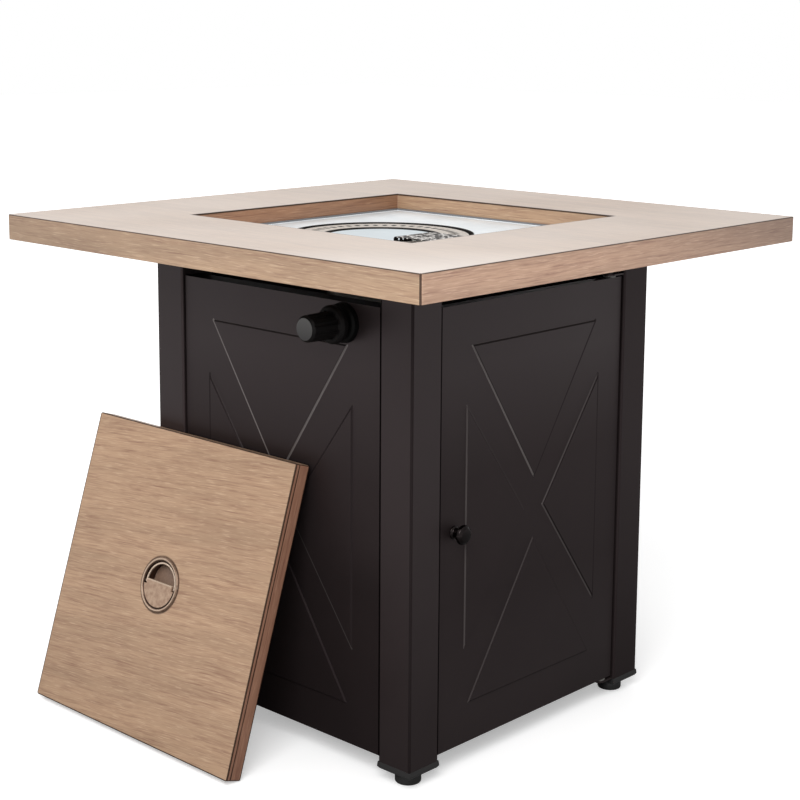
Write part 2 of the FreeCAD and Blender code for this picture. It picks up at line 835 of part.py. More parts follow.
def make_hinge_bracket(upper):
    # plate welded to the back post's side, with a rounded nose round the pin
    z0, z1 = bracket_levels(upper)
    nose = 9.0
    plate = box(hinge_x - nose, hinge_x + nose, hinge_y, post_inner, z0, z1)
    plate = plate.fuse(rod(nose, V(hinge_x, hinge_y, z0), V(hinge_x, hinge_y, z1)))
    if upper:
        gusset = prism([V(hinge_x - 1, post_inner, z1), V(hinge_x - 1, post_inner - 12, z1),
                        V(hinge_x - 1, post_inner, z1 + 12)], V(2, 0, 0))
        plate = plate.fuse(gusset)
    return plate.removeSplitter().cut(rod(hinge_pin_radius, V(hinge_x, hinge_y, z0), V(hinge_x, hinge_y, z1)))


def make_hinge_pin(upper):
    z0, z1 = bracket_levels(upper)
    if upper:
        low, high = panel_top - 14, z1
        head = rod(hinge_pin_radius + 1.8, V(hinge_x, hinge_y, z1), V(hinge_x, hinge_y, z1 + 2))
    else:
        low, high = z0, panel_bottom + 14
        head = rod(hinge_pin_radius + 1.8, V(hinge_x, hinge_y, z0 - 2), V(hinge_x, hinge_y, z0))
    return rod(hinge_pin_radius, V(hinge_x, hinge_y, low), V(hinge_x, hinge_y, high)).fuse(head)


def make_door_knob():
    neck = door_knob_neck
    length = door_knob_length
    r = door_knob_radius
    profile = [(0, 0), (neck + 2, 0), (neck + 2, 1.5), (neck, 3), (neck - 1, length - 11),
               (r - 1.5, length - 8.5), (r, length - 6), (r - 1, length - 3), (r - 4, length - 0.8), (0, length)]
    knob = turned(profile)
    knob.rotate(ORIGIN, V(0, 1, 0), 90)
    knob.translate(V(panel_face, door_knob_y, door_knob_z))
    return knob.cut(make_door_knob_screw())


def make_door_knob_screw():
    place = V(0, door_knob_y, door_knob_z)
    shank = rod(2, place + V(panel_back, 0, 0), place + V(panel_face + 10, 0, 0))
    head = rod(4, place + V(panel_back - 2.4, 0, 0), place + V(panel_back, 0, 0))
    return shank.fuse(head)


def make_magnet_catch():
    # housing on the door-side top rail with two steel poles facing the door
    back = door_rail_face
    front = panel_back - strike_sheet - catch_gap
    y, z = catch_y, catch_z
    body = rounded(box(back, front - 2, y - 22, y + 22, z - 7, z + 7), 2,
                   lambda e: e.BoundBox.XLength > 10)
    poles = [box(front - 4, front, y - 17, y + 17, z + s - 1.2, z + s + 1.2) for s in (-3.5, 3.5)]
    return body.fuse(poles).removeSplitter()


def make_strike():
    y, z = catch_y, catch_z
    return box(panel_back - strike_sheet, panel_back, y - 18, y + 18, z - 9, z + 9)


def lid_point(u, v, w):
    # u along the lid's lower edge, v up its face, w out of its face
    lean = math.radians(lid_lean)
    foot_y = -half_cabinet - lid_rest_gap - lid_width * math.sin(lean)
    return V(lid_left + u, foot_y + v * math.sin(lean) - w * math.cos(lean),
             v * math.cos(lean) + w * math.sin(lean))


def lean_lid(shape):
    shape = shape.copy()
    shape.rotate(ORIGIN, V(1, 0, 0), 90 - lid_lean)
    shape.translate(lid_point(0, 0, 0))
    return shape


def pull_centre(w):
    return V(lid_width / 2, lid_width / 2, w)


def make_lid_shell():
    size, t, high = lid_width, lid_sheet, lid_thickness
    shell = rounded_box(0, size, 0, size, 0, high, 3)
    hollow = rounded_box(t, size - t, t, size - t, t, high - t, 2)
    mouth = box(lid_hem, size - lid_hem, lid_hem, size - lid_hem, 0, t)
    hole = rod(pull_cup_radius, pull_centre(high - t), pull_centre(high))
    return lean_lid(shell.cut(hollow).cut(mouth).cut(hole).removeSplitter())


def make_lid_stiffener(side):
    # hat channel welded under the face, clear of the pull
    high = lid_thickness - lid_sheet
    v = lid_width / 2 + side * stiffener_offset
    t = lid_sheet
    half = stiffener_width / 2
    reach = half + stiffener_flange
    low = high - stiffener_depth
    section = [(-reach, high), (-reach, high - t), (-half, high - t), (-half, low), (half, low),
               (half, high - t), (reach, high - t), (reach, high), (half - t, high),
               (half - t, low + t), (-half + t, low + t), (-half + t, high)]
    inset = lid_sheet + 6
    points = [V(inset, v + y, z) for y, z in section]
    return lean_lid(prism(points, V(lid_width - 2 * inset, 0, 0)))


def trunnion_level():
    return lid_thickness - ring_wire - 0.4


def make_pull_cup():
    # die-cast flush pull: round crest, round pocket, and a plate over the pocket's lower half
    high = lid_thickness
    floor_w = high - pull_pocket_depth
    c = pull_centre(0)
    top = high + pull_rim
    cup = pipe(pull_cup_radius, pull_pocket_radius, pull_centre(floor_w), pull_centre(high + 0.8))
    cup = cup.fuse(rod(pull_cup_radius, pull_centre(floor_w - 1.5), pull_centre(floor_w)))
    crest = turned([(pull_pocket_radius, high), (pull_radius, high), (pull_radius, high + 0.6),
                    (pull_crest_radius + 1.2, top - 0.5), (pull_crest_radius, top),
                    (pull_crest_radius - 1.2, top - 0.5), (pull_crest_radius - 2, high + 0.8),
                    (pull_pocket_radius, high + 0.8)], c)
    plate_top = high + pull_plate_proud
    plate = rod(pull_plate_radius, pull_centre(plate_top - 2), pull_centre(plate_top))
    plate = plate.fuse(rod(pull_pocket_radius + 0.2, pull_centre(plate_top - 3), pull_centre(plate_top - 2)))
    edge = c.y + pull_plate_edge
    plate = plate.cut(box(c.x - pull_radius, c.x + pull_radius, edge, c.y + pull_radius, 0, top))
    notch = ring_bend - ring_wire - 1.5
    for s in (-1, 1):
        xs = sorted((c.x + s * notch, c.x + s * pull_radius))
        plate = plate.cut(box(xs[0], xs[1], c.y - ring_wire - 2, edge, 0, top))
    cup = cup.fuse(crest).fuse(plate)
    reach = pull_cup_radius - 0.2
    bore = rod(trunnion_radius + running_fit, V(c.x - reach, c.y, trunnion_level()),
               V(c.x + reach, c.y, trunnion_level()))
    return lean_lid(cup.cut(bore).removeSplitter())


def make_pull_ring():
    # half ring of round bar with straight feet, and a trunnion on each foot
    c = pull_centre(trunnion_level())
    section = Part.Face(Part.Wire([Part.Circle(c + V(ring_bend, 0, 0), V(0, 1, 0), ring_wire).toShape()]))
    ring = section.revolve(c, UP, 180)
    for s in (-1, 1):
        foot = c + V(s * ring_bend, 0, 0)
        ring = ring.fuse(rod(ring_wire, foot + V(0, -ring_wire, 0), foot))
        reach = pull_cup_radius - 0.4 - ring_bend
        ring = ring.fuse(rod(trunnion_radius, foot, foot + V(s * reach, 0, 0)))
    return lean_lid(ring)


def build():
    nodes = {
        "tabletop": make_tabletop(),
        "table_underframe": make_underframe(),
        "front_panel": make_front_panel(),
        "back_panel": on_side(make_side_panel(), 2),
        "left_panel": on_side(make_side_panel(), 3),
        "panel_nuts": make_nuts(),
        "frame_bolts": make_frame_bolts(),
        "top_rail_front": make_front_top_rail(),
        "top_rail_back": on_side(make_panel_rail(top_rail_low, panel_top), 2),
        "top_rail_left": on_side(make_panel_rail(top_rail_low, panel_top), 3),
        "top_rail_door": on_side(make_rail(door_rail_face, top_rail_low, panel_top), 1),
        "bottom_rail_front": make_panel_rail(bottom_rail_low, shelf_level),
        "bottom_rail_back": on_side(make_panel_rail(bottom_rail_low, shelf_level), 2),
        "bottom_rail_left": on_side(make_panel_rail(bottom_rail_low, shelf_level), 3),
        "bottom_rail_door": on_side(make_rail(door_rail_face, bottom_rail_low, shelf_level), 1),
        "base_shelf": make_shelf(),
        "fire_pan": make_fire_pan(),
        "ring_burner": make_ring_burner(),
        "burner_studs": make_burner_studs(),
        "igniter_guard": make_guard(),
        "spark_electrode": make_electrode(),
        "electrode_pin": make_electrode_pin(),
        "thermocouple": make_thermocouple(),
        "burner_tube": make_feed_tube(),
        "air_shutter": make_air_shutter(),
        "gas_valve": make_valve(),
        "valve_inlet": make_valve_inlet(),
        "valve_screws": make_valve_screws(),
        "control_bezel": make_bezel(),
        "valve_stem": make_stem(),
        "stem_collar": make_stem_collar(),
        "control_knob": make_knob(),
        "door_panel": make_door_panel(),
        "door_bush_upper": make_bush(True),
        "door_bush_lower": make_bush(False),
        "hinge_bracket_upper": make_hinge_bracket(True),
        "hinge_bracket_lower": make_hinge_bracket(False),
        "hinge_pin_upper": make_hinge_pin(True),
        "hinge_pin_lower": make_hinge_pin(False),
        "door_knob": make_door_knob(),
        "door_knob_screw": make_door_knob_screw(),
        "magnet_catch": make_magnet_catch(),
        "strike_plate": make_strike(),
        "lid_shell": make_lid_shell(),
        "lid_stiffener_upper": make_lid_stiffener(1),
        "lid_stiffener_lower": make_lid_stiffener(-1),
        "lid_pull_cup": make_pull_cup(),
        "lid_pull_ring": make_pull_ring(),
    }
    corners = ("right_front", "right_back", "left_back", "left_front")
    for turn, corner in enumerate(corners):
        nodes["post_" + corner] = on_side(make_post(), turn)
        nodes["foot_" + corner] = on_side(make_foot(), turn)
    caps = [on_side(make_post_cap(), turn) for turn in range(4)]
    nodes["post_caps"] = Part.makeCompound(caps)
    return nodes


os.makedirs("parts", exist_ok=True)
for name, shape in build().items():
    solids = shape.Solids
    whole = solids[0] if len(solids) == 1 else Part.makeCompound(solids)
    print(name, len(solids), whole.isValid(), round(whole.Volume))
    whole.exportStep("parts/" + name + ".step")
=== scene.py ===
import bpy
import json
import math
from mathutils import Matrix, Vector


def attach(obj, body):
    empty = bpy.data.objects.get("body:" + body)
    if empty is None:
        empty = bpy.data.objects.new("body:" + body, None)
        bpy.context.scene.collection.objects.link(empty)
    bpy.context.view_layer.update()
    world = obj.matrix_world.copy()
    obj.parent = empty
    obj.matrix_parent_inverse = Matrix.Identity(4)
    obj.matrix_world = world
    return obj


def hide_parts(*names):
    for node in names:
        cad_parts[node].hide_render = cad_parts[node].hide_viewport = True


# Square gas fire pit table: wood-look top and leaning lid, dark cabinet, ring burner in its pan

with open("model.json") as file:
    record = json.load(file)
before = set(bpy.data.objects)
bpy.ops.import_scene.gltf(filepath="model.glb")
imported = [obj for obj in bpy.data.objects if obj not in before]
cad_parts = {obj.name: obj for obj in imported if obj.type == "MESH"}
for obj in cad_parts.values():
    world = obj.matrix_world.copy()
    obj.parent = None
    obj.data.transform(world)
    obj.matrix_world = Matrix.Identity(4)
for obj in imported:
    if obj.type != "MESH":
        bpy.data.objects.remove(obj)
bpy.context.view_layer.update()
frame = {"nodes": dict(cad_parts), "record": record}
nodes = frame["nodes"]
print("frame loaded", len(nodes), "nodes")

mm = 0.001
tableHalf = 355.5 * mm
tableTop = 635.0 * mm
openingHalf = 191.0 * mm
lidSize = 377.0 * mm
lidThickness = 22.0 * mm
lidLean = 17.6
lidLeft = -318.0 * mm
lidRest = -223.3 * mm
lidCorner = Vector((lidLeft, lidRest - lidSize * math.sin(math.radians(lidLean)), 0))
panTop = 611.5 * mm
burnerPlace = (-24.0 * mm, -16.0 * mm)
ringOuter = 113.0 * mm
ringInner = 76.0 * mm
ringTop = 610.0 * mm
portCount = 48
guardMiddle = (65.6 * mm, -22.5 * mm)
guardPitch = 8.0 * mm
fasciaLow = tableTop - 32.0 * mm


# node helpers

def newMaterial(name):
    material = bpy.data.materials.new(name)
    material.use_nodes = True
    tree = material.node_tree
    tree.nodes.clear()
    out = tree.nodes.new("ShaderNodeOutputMaterial")
    shader = tree.nodes.new("ShaderNodeBsdfPrincipled")
    tree.links.new(shader.outputs["BSDF"], out.inputs["Surface"])
    return material, tree, shader


def calc(tree, operation, *values):
    node = tree.nodes.new("ShaderNodeMath")
    node.operation = operation
    for socket, value in zip(node.inputs, values):
        if isinstance(value, (int, float)):
            socket.default_value = value
        else:
            tree.links.new(value, socket)
    return node.outputs[0]


def ramp(tree, value, stops):
    # colours along a value, each stop a place with a colour or a shade of grey
    node = tree.nodes.new("ShaderNodeValToRGB")
    tree.links.new(value, node.inputs[0])
    while len(node.color_ramp.elements) < len(stops):
        node.color_ramp.elements.new(0.5)
    for element, (place, colour) in zip(node.color_ramp.elements, stops):
        element.position = place
        element.color = (colour, colour, colour, 1) if isinstance(colour, (int, float)) else (*colour, 1)
    return node.outputs[0]


def blendColour(tree, factor, first, second, mode="MIX"):
    node = tree.nodes.new("ShaderNodeMix")
    node.data_type = "RGBA"
    node.blend_type = mode
    for socket, value in ((node.inputs[0], factor), (node.inputs[6], first), (node.inputs[7], second)):
        if hasattr(value, "is_output"):
            tree.links.new(value, socket)
        elif isinstance(value, (int, float)):
            socket.default_value = value
        else:
            socket.default_value = (*value, 1)
    return node.outputs[2]


def noise(tree, vector, scale, detail=3.0, roughness=0.5):
    node = tree.nodes.new("ShaderNodeTexNoise")
    tree.links.new(vector, node.inputs["Vector"])
    node.inputs["Scale"].default_value = scale
    node.inputs["Detail"].default_value = detail
    node.inputs["Roughness"].default_value = roughness
    return node.outputs["Fac"]


def objectCoords(tree):
    return tree.nodes.new("ShaderNodeTexCoord").outputs["Object"]


def faceNormal(tree):
    return split(tree, tree.nodes.new("ShaderNodeTexCoord").outputs["Normal"])


def mapped(tree, vector, scale=(1, 1, 1), location=(0, 0, 0), rotation=(0, 0, 0), kind="POINT"):
    node = tree.nodes.new("ShaderNodeMapping")
    node.vector_type = kind
    tree.links.new(vector, node.inputs["Vector"])
    node.inputs["Location"].default_value = location
    node.inputs["Rotation"].default_value = rotation
    node.inputs["Scale"].default_value = scale
    return node.outputs[0]


def split(tree, vector):
    node = tree.nodes.new("ShaderNodeSeparateXYZ")
    tree.links.new(vector, node.inputs[0])
    return node.outputs


def joined(tree, x, y, z):
    node = tree.nodes.new("ShaderNodeCombineXYZ")
    for socket, value in zip(node.inputs, (x, y, z)):
        if isinstance(value, (int, float)):
            socket.default_value = value
        else:
            tree.links.new(value, socket)
    return node.outputs[0]


def addBump(tree, shader, height, strength, distance):
    node = tree.nodes.new("ShaderNodeBump")
    node.inputs["Strength"].default_value = strength
    node.inputs["Distance"].default_value = distance
    tree.links.new(height, node.inputs["Height"])
    tree.links.new(node.outputs[0], shader.inputs["Normal"])


def newGroup(name, inputs, outputs):
    group = bpy.data.node_groups.new(name, "ShaderNodeTree")
    for label, kind in inputs:
        group.interface.new_socket(label, in_out="INPUT", socket_type="NodeSocket" + kind)
    for label, kind in outputs:
        group.interface.new_socket(label, in_out="OUTPUT", socket_type="NodeSocket" + kind)
    entry = group.nodes.new("NodeGroupInput")
    leave = group.nodes.new("NodeGroupOutput")
    return group, entry.outputs, leave.inputs


def placeGroup(tree, group, **values):
    node = tree.nodes.new("ShaderNodeGroup")
    node.node_tree = group
    for label, value in values.items():
        socket = node.inputs[label]
        if hasattr(value, "is_output"):
            tree.links.new(value, socket)
        else:
            socket.default_value = value
    return node.outputs


def lengthOf(tree, vector):
    node = tree.nodes.new("ShaderNodeVectorMath")
    node.operation = "LENGTH"
    tree.links.new(vector, node.inputs[0])
    return node.outputs["Value"]


def hypotenuse(tree, first, second):
    squares = [calc(tree, "MULTIPLY", side, side) for side in (first, second)]
    return calc(tree, "SQRT", calc(tree, "ADD", *squares))


def clamped(tree, value):
    return calc(tree, "MINIMUM", calc(tree, "MAXIMUM", value, 0), 1)


def band(tree, value, low, high, soft):
    # 1 between low and high, fading out over the soft width on both sides
    up = calc(tree, "DIVIDE", calc(tree, "SUBTRACT", value, low - soft), soft)
    down = calc(tree, "DIVIDE", calc(tree, "SUBTRACT", high + soft, value), soft)
    return clamped(tree, calc(tree, "MINIMUM", up, down))


def lidPlace(tree):
    # place on the lid: x along its lower edge, y up its face, z out of its face
    turn = (math.radians(90 - lidLean), 0, 0)
    return mapped(tree, objectCoords(tree), location=lidCorner, rotation=turn, kind="TEXTURE")


def pullDistance(tree, flat):
    # distance from the middle of the lid, where its pull sits
    x, y, z = split(tree, flat)
    return hypotenuse(tree, calc(tree, "SUBTRACT", x, lidSize / 2), calc(tree, "SUBTRACT", y, lidSize / 2))


def burnerRound(tree, coords):
    # distance from the burner's middle, the angle around it and the height
    x, y, z = split(tree, coords)
    u = calc(tree, "SUBTRACT", x, burnerPlace[0])
    v = calc(tree, "SUBTRACT", y, burnerPlace[1])
    return hypotenuse(tree, u, v), calc(tree, "ARCTAN2", v, u), z


def toNearest(tree, value, pitch):
    # signed distance from the nearest multiple of the pitch
    steps = calc(tree, "DIVIDE", value, pitch)
    return calc(tree, "MULTIPLY", calc(tree, "SUBTRACT", steps, calc(tree, "ROUND", steps)), pitch)


def ovalMask(tree, first, second, firstHalf, secondHalf, soft):
    # 1 inside an oval, fading to 0 at its rim
    far = hypotenuse(tree, calc(tree, "DIVIDE", first, firstHalf), calc(tree, "DIVIDE", second, secondHalf))
    return clamped(tree, calc(tree, "DIVIDE", calc(tree, "SUBTRACT", 1, far), soft))


# shared effects

streakLook = {
    "waveAlong": 9,
    "waveAcross": 14,
    "waveDepth": 0.006,
    "fine": 560,
    "fineShare": 0.64,
    "coarse": 270,
    "coarseStretch": 0.45,
    "fleck": 900,
    "fleckStretch": 1.7,
    "bandAlong": 3,
    "bandAcross": 34,
}


def makeBrushedStreaks():
    # short painted streaks along the first axis, with broad uneven bands behind them
    group, given, result = newGroup("brushedStreaks", [("Vector", "Vector"), ("Length", "Float")],
                                    [("Streak", "Float"), ("Fleck", "Float"), ("Band", "Float")])
    look = streakLook
    x, y, z = split(group, given["Vector"])
    wave = joined(group, calc(group, "MULTIPLY", x, look["waveAlong"]),
                  calc(group, "MULTIPLY", y, look["waveAcross"]), z)
    bent = calc(group, "ADD", y, calc(group, "MULTIPLY", noise(group, wave, 1, 2), look["waveDepth"]))
    along = calc(group, "DIVIDE", x, given["Length"])

    def grainAt(run, stretch, pitch):
        return joined(group, calc(group, "MULTIPLY", run, stretch), calc(group, "MULTIPLY", bent, pitch),
                      calc(group, "MULTIPLY", z, pitch))

    fine = noise(group, grainAt(along, 1, look["fine"]), 1, 4, 0.6)
    coarse = noise(group, grainAt(along, look["coarseStretch"], look["coarse"]), 1, 3, 0.55)
    fleck = noise(group, grainAt(along, look["fleckStretch"], look["fleck"]), 1, 2, 0.5)
    bands = noise(group, grainAt(x, look["bandAlong"], look["bandAcross"]), 1, 3, 0.6)
    mixed = calc(group, "ADD", calc(group, "MULTIPLY", fine, look["fineShare"]),
                 calc(group, "MULTIPLY", coarse, 1 - look["fineShare"]))
    group.links.new(mixed, result["Streak"])
    group.links.new(fleck, result["Fleck"])
    group.links.new(bands, result["Band"])
    return group


def makeBoxEdges():
    # mask that is 1 on the arrises of a box centred on the vector's origin
    inputs = [("Vector", "Vector"), ("Half", "Vector"), ("Width", "Float")]
    group, given, result = newGroup("boxEdges", inputs, [("Mask", "Float")])
    place = split(group, given["Vector"])
    half = split(group, given["Half"])
    gaps = [calc(group, "ABSOLUTE", calc(group, "SUBTRACT", half[i], calc(group, "ABSOLUTE", place[i])))
            for i in range(3)]
    low = calc(group, "MINIMUM", gaps[0], gaps[1])
    high = calc(group, "MAXIMUM", gaps[0], gaps[1])
    middle = calc(group, "MAXIMUM", low, calc(group, "MINIMUM", high, gaps[2]))
    near = calc(group, "SUBTRACT", 1, calc(group, "DIVIDE", middle, given["Width"]))
    group.links.new(calc(group, "MAXIMUM", near, 0), result["Mask"])
    return group


coatLook = {
    "uneven": 0.12,
    "unevenScale": 7,
    "toneFrom": 0.35,
    "toneTo": 0.65,
    "roughDrift": 0.10,
    "dullRoughness": 0.4,
    "peel": 0.35,
}


def makeCoatTexture():
    # fine orange peel and a slow unevenness for powder coats and mouldings
    group, given, result = newGroup("coatTexture", [("Vector", "Vector"), ("Grain", "Float")],
                                    [("Height", "Float"), ("Uneven", "Float")])
    scaled = group.nodes.new("ShaderNodeVectorMath")
    scaled.operation = "SCALE"
    group.links.new(given["Vector"], scaled.inputs[0])
    group.links.new(given["Grain"], scaled.inputs["Scale"])
    group.links.new(noise(group, scaled.outputs[0], 1, 2, 0.5), result["Height"])
    group.links.new(noise(group, given["Vector"], coatLook["unevenScale"], 3, 0.55), result["Uneven"])
    return group


def makeLineMask():
    # 1 along a straight line between two points, fading out at its sides
    inputs = [("Vector", "Vector"), ("From", "Vector"), ("To", "Vector"), ("Width", "Float")]
    group, given, result = newGroup("lineMask", inputs, [("Mask", "Float")])
    steepness = 2.5

    def vectorStep(operation, first, second, output="Vector"):
        node = group.nodes.new("ShaderNodeVectorMath")
        node.operation = operation
        group.links.new(first, node.inputs[0])
        group.links.new(second, node.inputs["Scale" if operation == "SCALE" else 1])
        return node.outputs[output]

    reach = vectorStep("SUBTRACT", given["To"], given["From"])
    place = vectorStep("SUBTRACT", given["Vector"], given["From"])
    share = clamped(group, calc(group, "DIVIDE", vectorStep("DOT_PRODUCT", place, reach, "Value"),
                                vectorStep("DOT_PRODUCT", reach, reach, "Value")))
    foot = vectorStep("SCALE", reach, share)
    away = lengthOf(group, vectorStep("SUBTRACT", place, foot))
    near = calc(group, "SUBTRACT", 1, calc(group, "DIVIDE", away, given["Width"]))
    group.links.new(clamped(group, calc(group, "MULTIPLY", near, steepness)), result["Mask"])
    return group


brushedStreaks = makeBrushedStreaks()
boxEdges = makeBoxEdges()
coatTexture = makeCoatTexture()
lineMask = makeLineMask()


# wood look: tabletop, lid and pull

woodLook = {
    "body": (0.430, 0.292, 0.196),
    "bodyShades": [(0.34, 0.86), (0.50, 1.0), (0.68, 1.12)],
    "deep": (0.225, 0.116, 0.078),
    "deepStops": [(0.34, 0.76), (0.45, 0.28), (0.54, 0.0)],
    "pale": (0.640, 0.480, 0.345),
    "paleStops": [(0.56, 0.0), (0.68, 0.50)],
    "antique": (0.040, 0.020, 0.013),
    "edgeStops": [(0.10, 0.0), (0.60, 0.92)],
    "edgeWidth": 0.0019,
    "edgeDull": 0.75,
    "patchScale": 70,
    "patchLift": 0.9,
    "wash": (0.86, 0.78, 0.72),
    "streakLength": 0.042,
    "roughness": 0.32,
    "streakRoughness": 0.12,
    "sideGrain": 0.35,
    "relief": 0.25,
    "reliefDepth": 0.0002,
}


def paintWoodLook(tree, shader, vector, edgeMask, tint, wash=None):
    # streaky print: body colour, darker streaks, pale flecks, dark antiquing on the arrises
    group = placeGroup(tree, brushedStreaks, Vector=vector, Length=woodLook["streakLength"])
    shades = [(place, tuple(min(1, c * k) for c in woodLook["body"])) for place, k in woodLook["bodyShades"]]
    colour = ramp(tree, group["Band"], shades)
    colour = blendColour(tree, ramp(tree, group["Streak"], woodLook["deepStops"]), colour, woodLook["deep"])
    colour = blendColour(tree, ramp(tree, group["Fleck"], woodLook["paleStops"]), colour, woodLook["pale"])
    colour = blendColour(tree, 1.0, colour, tint, "MULTIPLY")
    # a painted sheen laid over the print, where one is given
    if wash is not None:
        colour = blendColour(tree, wash, colour, woodLook["wash"])
    patchy = calc(tree, "ADD", noise(tree, vector, woodLook["patchScale"], 3), woodLook["patchLift"])
    edge = ramp(tree, calc(tree, "MULTIPLY", edgeMask, patchy), woodLook["edgeStops"])
    colour = blendColour(tree, edge, colour, woodLook["antique"])
    rough = calc(tree, "MULTIPLY", group["Streak"], woodLook["streakRoughness"])
    tree.links.new(colour, shader.inputs["Base Color"])
    tree.links.new(calc(tree, "MULTIPLY", edge, woodLook["edgeDull"]), shader.inputs["Metallic"])
    tree.links.new(calc(tree, "ADD", rough, woodLook["roughness"]), shader.inputs["Roughness"])
    addBump(tree, shader, group["Streak"], woodLook["relief"], woodLook["reliefDepth"])


topLook = {
    "faceDepth": 0.0004,
    "fasciaHalf": 0.016,
    "hem": 0.0035,
    "arris": 0.60,
    "cornerReach": 0.0026,
    "cornerSoft": 0.0012,
    "corner": 0.85,
    "openingEdge": 0.0026,
    "wallDepth": 0.0015,
    "frontTint": (0.98, 0.95, 0.90),
    "sideTint": (1.20, 1.10, 1.12),
    "frontWallTint": (0.92, 0.87, 0.80),
    "sideWallTint": (0.76, 0.58, 0.48),
    "fadeStart": 0.05,
    "sideFade": 0.9,
    "frontFade": 0.45,
    "washScale": 2.6,
    "washSlope": 0.30,
    "nearStart": 0.45,
    "nearLift": 2.2,
    "farStart": 0.25,
    "farLift": 0.45,
    "washGain": 0.70,
    "washStops": [(0.21, 0.12), (0.56, 0.50), (0.92, 0.85)],
    "lacquer": 0.22,
    "lacquerRoughness": 0.26,
}


def makeTopCoat():
    material, tree, shader = newMaterial("woodLookTop")
    look = topLook
    coords = objectCoords(tree)
    x, y, z = split(tree, coords)
    absX, absY = calc(tree, "ABSOLUTE", x), calc(tree, "ABSOLUTE", y)
    furthest = calc(tree, "MAXIMUM", absX, absY)
    # the grain runs along X on the top and along each edge of the fascia and the opening
    onTop = calc(tree, "GREATER_THAN", z, tableTop - look["faceDepth"])
    onSide = calc(tree, "MULTIPLY", calc(tree, "GREATER_THAN", absX, absY), calc(tree, "SUBTRACT", 1, onTop))
    keep = calc(tree, "SUBTRACT", 1, onSide)
    along = calc(tree, "ADD", calc(tree, "MULTIPLY", y, onSide), calc(tree, "MULTIPLY", x, keep))
    across = calc(tree, "ADD", calc(tree, "MULTIPLY", x, onSide), calc(tree, "MULTIPLY", y, keep))
    grain = joined(tree, along, calc(tree, "ADD", across, z),
                   calc(tree, "MULTIPLY", z, woodLook["sideGrain"]))
    # dark arrises round the fascia, its corners and the opening
    centred = mapped(tree, coords, location=(0, 0, -(tableTop - look["fasciaHalf"])))
    outer = placeGroup(tree, boxEdges, Vector=centred, Half=(tableHalf, tableHalf, look["fasciaHalf"]),
                       Width=woodLook["edgeWidth"])["Mask"]
    outer = calc(tree, "MULTIPLY", outer, calc(tree, "GREATER_THAN", z, fasciaLow + look["hem"]))
    corner = calc(tree, "SUBTRACT", tableHalf, calc(tree, "MINIMUM", absX, absY))
    corner = calc(tree, "DIVIDE", calc(tree, "SUBTRACT", look["cornerReach"], corner), look["cornerSoft"])
    outer = calc(tree, "MAXIMUM", calc(tree, "MULTIPLY", outer, look["arris"]),
                 calc(tree, "MULTIPLY", calc(tree, "MINIMUM", corner, 1), look["corner"]))
    reach = calc(tree, "ABSOLUTE", calc(tree, "SUBTRACT", furthest, openingHalf))
    reach = calc(tree, "MAXIMUM", reach, calc(tree, "SUBTRACT", tableTop, z))
    inner = calc(tree, "SUBTRACT", 1, calc(tree, "DIVIDE", reach, look["openingEdge"]))
    # the folded faces are tinted by the way they face, as painted light and shade: yellower in front, pinker
    # at the sides, the opening's side walls darker
    tint = blendColour(tree, onSide, look["frontTint"], look["sideTint"])
    wallTint = blendColour(tree, onSide, look["frontWallTint"], look["sideWallTint"])
    onWall = calc(tree, "LESS_THAN", furthest, openingHalf + look["wallDepth"])
    tint = blendColour(tree, onWall, tint, wallTint)
    # the fascia is painted darker away from the near corner, as shade
    back = calc(tree, "MULTIPLY", calc(tree, "ADD", y, look["fadeStart"]),
                calc(tree, "MULTIPLY", onSide, look["sideFade"]))
    left = calc(tree, "MULTIPLY", calc(tree, "MULTIPLY", calc(tree, "ADD", x, look["fadeStart"]), keep),
                -look["frontFade"])
    fasciaShade = clamped(tree, calc(tree, "ADD", calc(tree, "MAXIMUM", back, 0), calc(tree, "MAXIMUM", left, 0)))
    tint = blendColour(tree, calc(tree, "SUBTRACT", 1, fasciaShade), (0.0, 0.0, 0.0), tint)
    tint = blendColour(tree, onTop, tint, (1.0, 1.0, 1.0))
    # a pale painted sheen lies on the top, thickest near the front corner
    nearCorner = calc(tree, "SUBTRACT", x, y)
    slow = calc(tree, "ADD", noise(tree, coords, look["washScale"], 2),
                calc(tree, "MULTIPLY", nearCorner, look["washSlope"]))
    nearLift = calc(tree, "MAXIMUM", calc(tree, "SUBTRACT", nearCorner, look["nearStart"]), 0)
    farLift = calc(tree, "MAXIMUM", calc(tree, "SUBTRACT", -look["farStart"], nearCorner), 0)
    slow = calc(tree, "ADD", slow, calc(tree, "MULTIPLY", nearLift, look["nearLift"]))
    slow = calc(tree, "ADD", slow, calc(tree, "MULTIPLY", farLift, look["farLift"]))
    wash = ramp(tree, calc(tree, "MULTIPLY", slow, look["washGain"]), look["washStops"])
    paintWoodLook(tree, shader, grain, calc(tree, "MAXIMUM", outer, inner), tint,
                  calc(tree, "MULTIPLY", onTop, wash))
    shader.inputs["Coat Weight"].default_value = look["lacquer"]
    shader.inputs["Coat Roughness"].default_value = look["lacquerRoughness"]
    return material


lidLook = {
    "wallDepth": 0.0006,
    "faceDepth": 0.0004,
    "grainSlope": 0.09,
    "haloFrom": 0.0340,
    "haloTo": 0.0352,
    "haloSoft": 0.0020,
    "halo": 0.36,
    "foldFrom": 0.0160,
    "foldTo": 0.0168,
    "foldSoft": 0.0009,
    "fold": 0.42,
    "faceTint": (1.03, 0.98, 0.93),
    "wallTint": (0.74, 0.55, 0.52),
}


